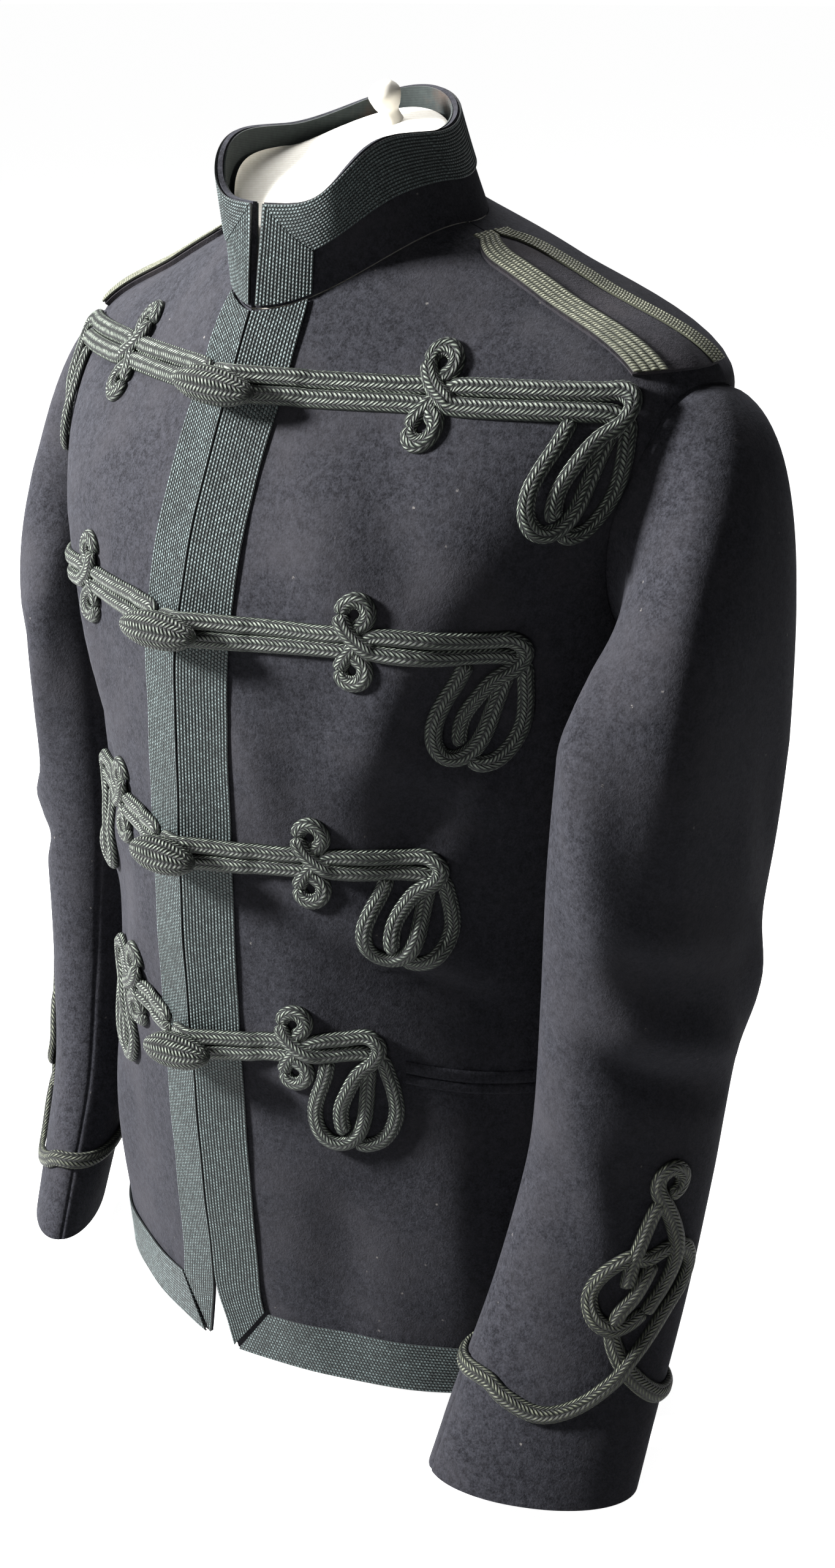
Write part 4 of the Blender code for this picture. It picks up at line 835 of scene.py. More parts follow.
WOOL = Felt("felted_wool", (0.0035, 0.0035, 0.0052), (0.033, 0.0335, 0.041),
            (0.0355, 0.034, 0.039))
STRAP_WOOL = Felt("strap_wool", (0.0045, 0.0040, 0.0050), (0.026, 0.0235, 0.028),
                  (0.034, 0.028, 0.029), 0.7)
# Braid and cord finishes: painted shade for the gaps, the thread's own colour, then a painted highlight
# for the crests
MOHAIR = Rib("mohair_braid", (0.0020, 0.0040, 0.0042), (0.032, 0.048, 0.047),
             (0.190, 0.240, 0.240))
KHAKI = Rib("strap_braid", (0.040, 0.042, 0.026), (0.170, 0.175, 0.120), (0.33, 0.33, 0.24))
CORD = Plait("plaited_cord", (0.0012, 0.0020, 0.0018), (0.040, 0.052, 0.042),
             (0.290, 0.325, 0.270))
CUFF_CORD = Plait("cuff_cord", (0.0012, 0.0018, 0.0012), (0.030, 0.036, 0.024),
                  (0.180, 0.190, 0.140))
NET = Plait("netted_toggle", (0.0010, 0.0016, 0.0014), (0.036, 0.046, 0.037),
            (0.250, 0.280, 0.230), 1.0, 0.9)
LINING = Twill("collar_lining", (0.008, 0.012, 0.012), (0.030, 0.040, 0.038),
               (0.060, 0.030, 0.018), 1400.0, 0.6)
LINEN = Twill("form_linen", (0.72, 0.68, 0.60), (0.88, 0.86, 0.80), (0.80, 0.74, 0.62), 1500.0,
              0.35, 0.08)
PAINT = Painted("form_paint", (0.80, 0.77, 0.70), (0.72, 0.68, 0.60), 0.45, 40.0)
FLOOR = Painted("studio_floor", (0.80, 0.80, 0.80), (0.78, 0.78, 0.78), 0.8, 3.0, 0.96)


# ---- the jacket's body ---------------------------------------------------------------------


@dataclass
class Panels:
    """The two fronts and the two backs."""

    surface: BodySurface
    front_columns: int = 44
    back_columns: int = 40

    def levels(self) -> np.ndarray:
        """Levels of the rows, closer together round the armhole."""
        low = np.linspace(HEM, ARMPIT, 66)
        turns = np.linspace(0.0, math.pi, 31)[1:]
        bend = ARMPIT + (SHOULDER - ARMPIT) * (1.0 - np.cos(turns)) / 2.0
        return np.concatenate([low, bend, np.linspace(SHOULDER, NECK, 22)[1:]])

    def row(self, level: float, start: float, end: float, side: Side, seams: tuple[bool, bool],
            columns: int) -> Frames:
        """One row of a panel with its seam edges drawn in.

        Args:
            level: the body level.
            start: turn of the first column.
            end: turn of the last column.
            side: the side of the body.
            seams: whether the first and the last edge is a seam.
            columns: how many even columns there are.

        Returns:
            The row's points, and its pattern coordinates.
        """
        sizes = self.surface.sizes
        dense, length = arc(ring_at(level), start, end)
        across = edge_spaced(length[-1], columns, *seams)
        turns = np.interp(across, length, dense)
        points = self.surface.points(level, turns, side)
        along = np.gradient(points, axis=0)
        outward = unit(np.cross(along, [0.0, 0.0, 1.0]))
        away = np.full_like(across, 1e3)
        if seams[0]:
            away = np.minimum(away, across)
        if seams[1]:
            away = np.minimum(away, length[-1] - across)
        dip = sizes.seam_dip * np.exp(-(away / sizes.seam_reach) ** 2)
        points = points - outward * dip[:, None]
        return points, np.stack([across, np.full_like(across, level * 60.0)], -1)

    def build(self) -> None:
        """Build the four panels."""
        sizes = self.surface.sizes
        for side in Side:
            fronts = []
            backs = []
            for level in self.levels():
                ring = ring_at(level)
                bell = armhole_bell(level)
                seam = self.surface.seam_y(level)
                ahead = seam - sizes.seam_gap / 2.0 - sizes.armhole_forward * bell
                behind = seam + sizes.seam_gap / 2.0 + sizes.armhole_backward * bell
                middle = 180.0 - turn_of_x(dict(ring, front_power=ring["back_power"]),
                                           sizes.seam_gap / 2.0)
                fronts.append(self.row(level, turn_of_x(ring, self.surface.front_gap(level)),
                                       turn_of_y(ring, ahead), side, (False, True),
                                       self.front_columns))
                backs.append(self.row(level, turn_of_y(ring, behind), middle, side,
                                      (True, True), self.back_columns))
            for word, rows in (("front", fronts), ("back", backs)):
                placed = turned_over(np.array([row[0] for row in rows]), side)
                texture = np.array([row[1] for row in rows])
                name = f"{word}_{side.word}"
                Piece.skin(f"cloth_{name}", placed, texture, WOOL, [name], "wool", sizes.cloth)


@dataclass
class Braids:
    """The wide ribbed braid down both fronts and round the hem."""

    surface: BodySurface
    width: float = 32.0
    thickness: float = 1.4
    lift: float = 0.35
    hem_lift: float = 0.8
    rib: float = 2.0
    stitch: float = 2.0
    relief: float = 0.34
    mitre_gap: float = 1.4
    hem_rise: float = 0.4
    columns: int = 80
    rows: int = 150
    hem_columns: int = 330

    def ribbed(self, across: np.ndarray) -> np.ndarray:
        """Height of the ribs at distances across the braid."""
        return self.relief * (np.abs(np.sin(np.pi * across / self.rib)) ** 0.7 - 1.0)

    def ripple(self, along: np.ndarray, across: np.ndarray) -> np.ndarray:
        """The braid's slight waves along its length."""
        return (0.22 * np.sin(along / 9.0 + across / 30.0)
                + 0.18 * np.sin(along / 23.0 - across / 12.0 + 1.3))

    @staticmethod
    def hem_part(levels: np.ndarray) -> np.ndarray:
        """Share of the open slit at the hem in the place of the braid's edge."""
        return 1.0 - eased(levels, 0.35, 0.85)

    def fronts(self) -> None:
        """Build the two front braids, cut on the slant above the hem."""
        across = np.linspace(0.0, self.width, self.columns + 1)
        share = np.linspace(0.0, 1.0, self.rows)[:, None]
        for side in Side:
            chart = self.surface.maps[side]
            hem = np.interp(across + 12.0, chart.across, chart.low)
            neck = np.interp(across + 1.0, chart.across, chart.high)
            low = hem + self.mitre_gap + across
            up = low + (neck - 1.0 - low) * share
            levels = np.interp(up, chart.total_heights, np.linspace(HEM, NECK, 111))
            gap = np.vectorize(self.surface.front_gap)(levels)
            points, normals = chart.frames(across + gap * 0.35 + self.hem_part(levels) * gap * 0.65, up)
            height = self.lift + self.thickness + self.ribbed(across) + self.ripple(up, across)
            placed = turned_over(points + normals * height[..., None], side)
            texture = np.stack(np.broadcast_arrays(across / self.rib, up / self.stitch), -1)
            if side is Side.RIGHT:
                texture = texture[:, ::-1]
            name = f"front_braid_{side.word}"
            Piece.skin(f"ribbed_{name}", placed, texture, MOHAIR, [name], "braid",
                       self.thickness - 0.3)

    def hem(self) -> None:
        """Build the hem braid in one length from mitre to mitre."""
        rise = np.linspace(0.0, self.width, self.columns + 1)[:, None]
        halves = []
        for side in Side:
            chart = self.surface.maps[side]
            share = np.linspace(0.0, 1.0, self.hem_columns // 2 + 1)
            start = rise + 1.9 + self.surface.sizes.hem_half_gap - 0.28 * rise
            foot = np.interp(start, chart.across, chart.low)
            total = np.interp(foot + rise, chart.total_heights, chart.totals)
            across = start + (total - start) * share
            low = np.interp(across, chart.across, chart.low)
            up = low + self.hem_rise + rise
            points, normals = chart.frames(across, up)
            height = (self.hem_lift + self.thickness + self.ribbed(rise)
                      + self.ripple(across, rise))
            placed = points + normals * height[..., None]
            placed[:, -1, 0] = 0.0
            halves.append((placed, across))
        left, right = halves
        flip = np.array([-1.0, 1.0, 1.0])
        placed = np.concatenate([left[0], (right[0] * flip)[:, ::-1][:, 1:]], axis=1)
        run = np.concatenate([left[1], (2.0 * right[1][:, -1:] - right[1])[:, ::-1][:, 1:]], axis=1)
        texture = np.stack(np.broadcast_arrays(rise / self.rib, run / self.stitch), -1)
        Piece.skin("ribbed_hem_braid", placed, texture, MOHAIR, ["hem_braid"], "braid",
                   self.thickness - 0.3)

    def build(self) -> None:
        """Build all three."""
        self.fronts()
        self.hem()


@dataclass
class Collar:
    """The stand collar: cloth wall, lining and mitred braid."""

    braids: Braids
    wall: float = 2.6
    lining: float = 1.0
    seat: float = 0.6
    lift: float = 0.5
    base_gap: float = 1.6
    top_gap: float = 4.0
    band_low: float = 0.46
    columns: int = 150

    def edge(self, ring: dict[str, float], gap: float, shares: np.ndarray) -> tuple:
        """Points, level normals and length of half an edge, at shares of its length."""
        turns, length = arc(ring, turn_of_x(ring, gap), 180.0)
        placed = np.interp(np.asarray(shares) * length[-1], length, turns)
        along = ring_points(ring, placed + 0.4) - ring_points(ring, placed - 0.4)
        along[..., 2] = 0.0
        return ring_points(ring, placed), unit(np.cross(along, [0.0, 0.0, 1.0])), length[-1]

    def place(self, share: np.ndarray, up: np.ndarray, out: np.ndarray) -> np.ndarray:
        """Points at shares round half the collar, shares of its height and distances out."""
        share, up, out = np.broadcast_arrays(share, up, out)
        base_ring = dict(ring_at(NECK))
        for key in ("side_z", "front_z", "back_z"):
            base_ring[key] += self.seat
        base, base_normals, _ = self.edge(base_ring, self.base_gap, share)
        top, top_normals, _ = self.edge(COLLAR_TOP, self.top_gap, share)
        base = base + base_normals * out[..., None]
        top = top + top_normals * out[..., None]
        return base * (1.0 - up[..., None]) + top * up[..., None]

    def length(self, up: np.ndarray) -> np.ndarray:
        """Length of half the collar at shares of its height."""
        base = self.edge(ring_at(NECK), self.base_gap, np.zeros(1))[2]
        top = self.edge(COLLAR_TOP, self.top_gap, np.zeros(1))[2]
        return base * (1.0 - np.asarray(up)) + top * np.asarray(up)

    @staticmethod
    def whole(half: Rows) -> Rows:
        """A left half continued round the back to the right."""
        half = half.copy()
        half[:, -1, 0] = 0.0
        other = half[:, ::-1][:, 1:] * np.array([-1.0, 1.0, 1.0])
        return np.concatenate([half, other], axis=1)

    def layer(self, name: str, low: float, high: float, out: float, wall: float,
              finish: Finish, slot: str, inward: bool = False) -> None:
        """One smooth layer of the collar from front edge to front edge."""
        shares = np.linspace(0.0, 1.0, self.columns // 2 + 1)
        up = np.linspace(low, high, 22)[:, None]
        placed = self.whole(self.place(shares, up, np.full((1, 1), out)))
        texture = np.stack(np.broadcast_arrays(np.arange(placed.shape[1])[None] * 2.0,
                                               up * 54.0), -1)
        if inward:
            placed = placed[:, ::-1]
        Piece.skin(f"{slot}_{name}", placed, texture, finish, [name], slot, wall)

    def band(self) -> None:
        """The braid round the top of the collar, cut on the slant at the front edges."""
        braids = self.braids
        across = np.linspace(0.0, 1.0, braids.columns + 1)[:, None]
        up = self.band_low + (0.99 - self.band_low) * across
        start = braids.width * (1.0 - across) / self.length(up)
        share = start + (1.0 - start) * np.linspace(0.0, 1.0, self.columns)
        width = across * braids.width / braids.rib
        along = share * self.length(up)
        out = self.lift + braids.thickness + braids.ribbed(width * braids.rib)
        out = out + 0.5 * braids.ripple(along, width)
        half = self.place(share, up, out)
        placed = self.whole(half)
        run = np.concatenate([along, (2.0 * along[:, -1:] - along)[:, ::-1][:, 1:]], axis=1)
        texture = np.stack(np.broadcast_arrays(width, run / braids.stitch), -1)
        Piece.skin("ribbed_collar_braid", placed, texture, MOHAIR, ["collar_braid"], "braid",
                   braids.thickness - 0.3)

    def strips(self) -> None:
        """The upright braid beside each front edge, up to the mitre."""
        braids = self.braids
        across = np.linspace(0.0, braids.width, braids.columns + 1)
        rows = np.linspace(0.0, 1.0, 40)[:, None]
        top = 0.985 - across / braids.width * (0.985 - self.band_low + 0.01)
        up = 0.03 + (top - 0.03) * rows
        share = across / self.length(up)
        out = self.lift + braids.thickness + braids.ribbed(across)
        out = out + 0.5 * braids.ripple(up * 54.0, across)
        placed = self.place(share, up, out)
        texture = np.stack(np.broadcast_arrays(across / braids.rib, up * 54.0 / braids.stitch), -1)
        for side in Side:
            turned = texture if side is Side.LEFT else texture[:, ::-1]
            name = f"collar_strip_{side.word}"
            Piece.skin(f"ribbed_{name}", turned_over(placed, side), turned, MOHAIR, [name],
                       "braid", braids.thickness - 0.3)

    def build(self) -> None:
        """Build the collar's layers."""
        self.layer("collar", 0.0, 1.0, 0.0, self.wall, WOOL, "wool")
        self.layer("collar_lining", 0.04, 0.98, -self.wall - 0.35 - self.lining, self.lining,
                   LINING, "lining", inward=True)
        self.band()
        self.strips()


# ---- sleeves -------------------------------------------------------------------------------


@dataclass(frozen=True)
class SleeveSizes:
    """Shape of the sleeve head and places of the seams."""

    bulge: float = 0.26
    drop: float = 0.42
    direction: tuple[float, float, float] = (0.96, 0.0, -0.28)
    step: tuple[float, float, float] = (1.9, 0.0, -0.3)
    seam_turn: float = 0.03
    front_seam: float = 226.0
    hind_seam: float = 62.0
    knot_turn: float = 331.0
    knot_z: float = 88.0
    knot_rise: float = 1.06
    arm_rows: int = 84
    cap_rows: int = 30
    fold_scale: float = 0.9


# Folds of a sleeve, by turn round it (times 0.9 mm a degree) and height
LEFT_FOLDS = (
    Fold((-60.0, 300.0), (15.0, 262.0), 12.0, 3.4),
    Fold((-70.0, 272.0), (5.0, 236.0), 9.0, -2.8),
    Fold((-80.0, 360.0), (-10.0, 330.0), 14.0, 2.4),
    Fold((-95.0, 470.0), (-70.0, 330.0), 14.0, 2.8),
    Fold((-40.0, 520.0), (-35.0, 380.0), 18.0, 2.4),
    Fold((20.0, 330.0), (50.0, 255.0), 13.0, 2.8),
    Fold((5.0, 470.0), (25.0, 330.0), 18.0, -2.2),
    Fold((90.0, 300.0), (150.0, 260.0), 12.0, 3.0),
    Fold((90.0, 250.0), (160.0, 215.0), 12.0, 2.4),
    Fold((-75.0, 230.0), (-40.0, 140.0), 14.0, 1.8),
)
RIGHT_FOLDS = (
    Fold((-60.0, 305.0), (15.0, 265.0), 12.0, 3.0),
    Fold((-70.0, 275.0), (5.0, 240.0), 9.0, -2.4),
    Fold((-90.0, 460.0), (-70.0, 330.0), 14.0, 2.4),
    Fold((-40.0, 500.0), (-35.0, 380.0), 18.0, 2.2),
    Fold((20.0, 330.0), (50.0, 255.0), 13.0, 2.6),
    Fold((90.0, 300.0), (150.0, 260.0), 12.0, 2.8),
)


@dataclass
class Sleeve:
    """One sleeve as rings from the cuff up to the armhole, on the left or mirrored."""

    body: BodySurface
    table: Sequence
    side: Side
    folds: Sequence[Fold]
    sizes: SleeveSizes = SleeveSizes()

    @property
    def last(self) -> float:
        """The table's last level, where the sleeve head begins."""
        return len(self.table) - 1.0

    def section(self, level: float, turns: np.ndarray) -> np.ndarray:
        """Points of a level below the head, at turns from outward towards the back."""
        row = dict(zip(SLEEVE_COLUMNS, smooth_row(self.table, level)))
        local = np.radians(turns - row["turn"])
        power = 2.0 / row["power"]
        along = row["long"] * np.sign(np.cos(local)) * np.abs(np.cos(local)) ** power
        across = row["short"] * np.sign(np.sin(local)) * np.abs(np.sin(local)) ** power
        angle = math.radians(row["turn"])
        x = row["x"] + along * math.cos(angle) - across * math.sin(angle)
        y = row["y"] + along * math.sin(angle) + across * math.cos(angle)
        return np.stack([x, y, np.full_like(x, row["z"])], -1)

    def armhole(self, turns: np.ndarray) -> Frames:
        """The panels' armhole edge, 0 at the shoulder point and 180 at the armpit.

        Args:
            turns: turns round the sleeve.

        Returns:
            Points of the edge, and the body's normals there.
        """
        body = self.body
        placed = []
        normals = []
        for turn in turns:
            angle = math.radians(turn)
            level = ARMPIT + (SHOULDER - ARMPIT) * (1.0 + math.cos(angle)) / 2.0
            behind = math.sin(angle) > 0.0
            reach = body.sizes.armhole_backward if behind else body.sizes.armhole_forward
            y = body.seam_y(level) + reach * math.sin(angle)
            at = turn_of_y(ring_at(level), y)
            row = body.points(level, np.array([at - 0.5, at, at + 0.5]), self.side)
            above = body.points(level + 0.03, np.array([at]), self.side)
            placed.append(row[1])
            normals.append(unit(np.cross(row[2] - row[0], above[0] - row[1])))
        return np.array(placed), np.array(normals)

    def surface(self, level: float, turns: np.ndarray, high: np.ndarray) -> np.ndarray:
        """Points at a level: the table's rows, then one more level up the sleeve head."""
        if level <= self.last:
            return self.section(level, turns)
        share = level - self.last
        low = self.section(self.last, turns)
        reach = np.linalg.norm(high - low, axis=1)[:, None]
        leave = low + np.array([0.0, 0.0, 1.0]) * reach * self.sizes.drop
        arrive = high + np.array(self.sizes.direction) * reach * self.sizes.bulge
        rest = 1.0 - share
        return (rest ** 3 * low + 3.0 * rest ** 2 * share * leave
                + 3.0 * rest * share ** 2 * arrive + share ** 3 * high)

    def lofted(self, turns: np.ndarray) -> Rows:
        """The folded sleeve at turns, from the cuff up to the armhole."""
        levels = np.concatenate([np.linspace(0.0, self.last, self.sizes.arm_rows),
                                 self.last + np.linspace(0.0, 1.0, self.sizes.cap_rows)[1:]])
        high = self.armhole(turns)[0] + np.array(self.sizes.step)
        smooth = np.array([self.surface(level, turns, high) for level in levels])
        normals = unit(np.cross(np.gradient(smooth, axis=1), np.gradient(smooth, axis=0)))
        wound = (turns + 180.0) % 360.0 - 180.0
        lift = np.zeros(smooth.shape[:2])
        for shift in (-360.0, 0.0, 360.0):
            lift += folded(self.folds, (wound[None] + shift) * self.sizes.fold_scale,
                           smooth[..., 2])
        lift *= (1.0 - eased(levels, self.last + 0.7, self.last + 0.97))[:, None]
        return smooth + normals * lift[..., None]

    def build(self) -> None:
        """Build the top sleeve and the under sleeve."""
        sizes = self.sizes
        for part, start, end, columns in (
                ("top", sizes.front_seam - 360.0, sizes.hind_seam, 44),
                ("under", sizes.hind_seam, sizes.front_seam, 36)):
            run = end - start - 2.0 * sizes.seam_turn
            away = edge_spaced(run, columns, True, True)
            turns = start + sizes.seam_turn + away
            placed = self.lofted(turns)
            normals = unit(np.cross(np.gradient(placed, axis=1), np.gradient(placed, axis=0)))
            edge = np.minimum(away, run - away)
            dip = 0.7 * np.exp(-(edge / 2.2) ** 2)[None]
            top = np.arange(len(placed))[::-1][:, None]
            dip = dip + 0.9 * np.exp(-(top / 0.8) ** 2)
            placed = placed - normals * dip[..., None]
            edge, outward = self.armhole(turns)
            inward = unit(edge - placed[-1] - outward
                          * ((edge - placed[-1]) * outward).sum(axis=1)[:, None])
            tucked = [edge - outward * 1.9 - inward * 0.9, edge - outward * 2.5 + inward * 3.0]
            placed = np.concatenate([placed, tucked])
            texture = np.stack(np.broadcast_arrays(turns[None], placed[..., 2]), -1)
            name = f"sleeve_{part}_{self.side.word}"
            Piece.skin(f"cloth_{name}", turned_over(placed, self.side), texture, WOOL, [name],
                       "wool", self.body.sizes.cloth)

    def cuff_map(self) -> FlatMap:
        """The lower sleeve unrolled from the knot's middle line."""
        turns = self.sizes.knot_turn + np.linspace(-200.0, 200.0, 401)
        rows = self.lofted(turns)[: self.sizes.arm_rows // 2 + 6]
        lengths = []
        for row in rows:
            steps = np.linalg.norm(np.diff(row, axis=0), axis=1)
            length = np.concatenate([[0.0], np.cumsum(steps)])
            lengths.append(length - length[len(length) // 2])
        return FlatMap(lengths, list(rows))


# ---- cords ---------------------------------------------------------------------------------


@dataclass(frozen=True)
class CordSizes:
    """Section of the plaited cord and the spacing of its mesh."""

    width: float = 8.9
    height: float = 4.1
    columns: float = 4.0
    relief: float = 0.12
    stitch: float = 2.6
    spacing: float = 1.25
    top_sides: int = 17
    taper: float = 3.0


@dataclass
class CordWork:
    """Sews strands of cord onto an unrolled surface."""

    sizes: CordSizes = CordSizes()

    def strand(self, route: Sequence, surface: Callable[[np.ndarray, np.ndarray], Frames],
               base: Callable[[np.ndarray], np.ndarray]) -> bmesh.types.BMesh:
        """One strand as a closed tube with a flat underside.

        Args:
            route: flat places with a lift.
            surface: gives points and normals at flat places.
            base: gives the height of the underside at distances across.

        Returns:
            The strand's mesh.
        """
        sizes = self.sizes
        places = spaced_curve([(*point, 0.0)[:3] for point in route], sizes.spacing)
        heading = unit(np.gradient(places[:, :2], axis=0))
        sideways = np.stack([-heading[:, 1], heading[:, 0]], 1)
        top = np.linspace(0.0, math.pi, sizes.top_sides)
        offset = np.concatenate([np.cos(top), [-0.55, 0.0, 0.55, 1.0]]) * sizes.width / 2.0
        column = np.concatenate([top / math.pi * sizes.columns,
                                 sizes.columns + np.array([0.6, 1.2, 1.8, 2.4])])
        rise = np.concatenate([np.sin(top) ** 0.72 * sizes.height, [-0.1, -0.1, -0.1, 0.0]])
        lobes = np.abs(np.sin(math.pi * column[: sizes.top_sides])) ** 0.6 - 0.75
        rise[1: sizes.top_sides - 1] += sizes.relief * lobes[1:-1]
        run = np.arange(len(places)) * sizes.spacing
        ends = np.minimum(run, run[-1] - run)
        narrow = np.sqrt(np.clip(1.0 - (1.0 - np.clip(ends / sizes.taper, 0.0, 1.0)) ** 2,
                                 0.0, 1.0)) * 0.92 + 0.08
        flat = places[:, None, :2] + sideways[:, None] * (offset * narrow[:, None])[..., None]
        points, normals = surface(flat[..., 0], flat[..., 1])
        under = base(places[:, 0]) + places[:, 2]
        placed = points + normals * (under[:, None] + rise * narrow[:, None])[..., None]
        texture = np.stack(np.broadcast_arrays(column[None], run[:, None] / sizes.stitch), -1)
        builder = grid_builder(placed, texture)
        bmesh.ops.remove_doubles(builder, verts=builder.verts, dist=1e-6)
        rim = [edge for edge in builder.edges if edge.is_boundary]
        bmesh.ops.holes_fill(builder, edges=rim)
        bmesh.ops.recalc_face_normals(builder, faces=builder.faces)
        return builder

    def sewn(self, name: str, routes: Sequence, side: Side,
             surface: Callable[[np.ndarray, np.ndarray], Frames],
             base: Callable[[np.ndarray], np.ndarray], finish: Finish, node: str) -> None:
        """All strands of one piece of cord work, joined into one object."""
        whole = bmesh.new()
        whole.loops.layers.uv.new("weave")
        for route in routes:
            strand = self.strand(route, surface, base)
            mesh = bpy.data.meshes.new("strand")
            strand.to_mesh(mesh)
            strand.free()
            whole.from_mesh(mesh)
            bpy.data.meshes.remove(mesh)
        if side is Side.RIGHT:
            bmesh.ops.scale(whole, vec=(-1.0, 1.0, 1.0), verts=whole.verts)
            bmesh.ops.reverse_faces(whole, faces=whole.faces)
        Piece.add(name, whole, finish, [node], "cord", sharp=70.0)


@dataclass(frozen=True)
class FrogRow:
    """One row of frogging, in millimetres from the centre front and up from the table."""

    centre_z: float
    eye_z: float
    end_z: float
    eye_s: float
    end_s: float
    foot_wide: float
    foot_tall: float
    foot_lean: float
    foot_lift: float
    toggle_length: float
    toggle_shift: float
    toggle_raised: float
    toggle_sunk: float
    toggle_tilt: float

    def height(self, across: np.ndarray) -> np.ndarray:
        """Height of the row's middle line at distances from the centre front."""
        return np.interp(across, [0.0, self.eye_s, self.end_s],
                         [self.centre_z, self.eye_z, self.end_z])

    def foot(self, points: Sequence) -> list[tuple[float, float]]:
        """A crow's foot strand, sized and leaned for the row."""
        placed = []
        for across, rise in points:
            rise = rise * self.foot_tall
            lean = self.foot_lean * min(0.0, rise + 6.0)
            placed.append((self.end_s + across * self.foot_wide + lean, rise))
        return placed


FROG_ROWS = (
    FrogRow(597.0, 599.0, 599.0, 116.0, 216.0, 1.00, 1.08, 0.05, 0.8, 54.0, 2.0, 2.0, 0.0, 4.0),
    FrogRow(474.0, 480.0, 478.0, 104.0, 188.0, 1.05, 1.10, 0.24, 0.0, 52.0, 0.5, 3.0, 0.8, 1.0),
    FrogRow(350.0, 354.0, 355.0, 78.0, 145.0, 1.04, 0.94, 0.13, 0.0, 45.0, 1.0, 2.0, 1.9, 2.0),
    FrogRow(233.0, 243.0, 249.0, 66.0, 110.0, 1.02, 1.05, 0.0, 0.0, 48.0, 4.0, 2.0, 0.0, -5.0),
)


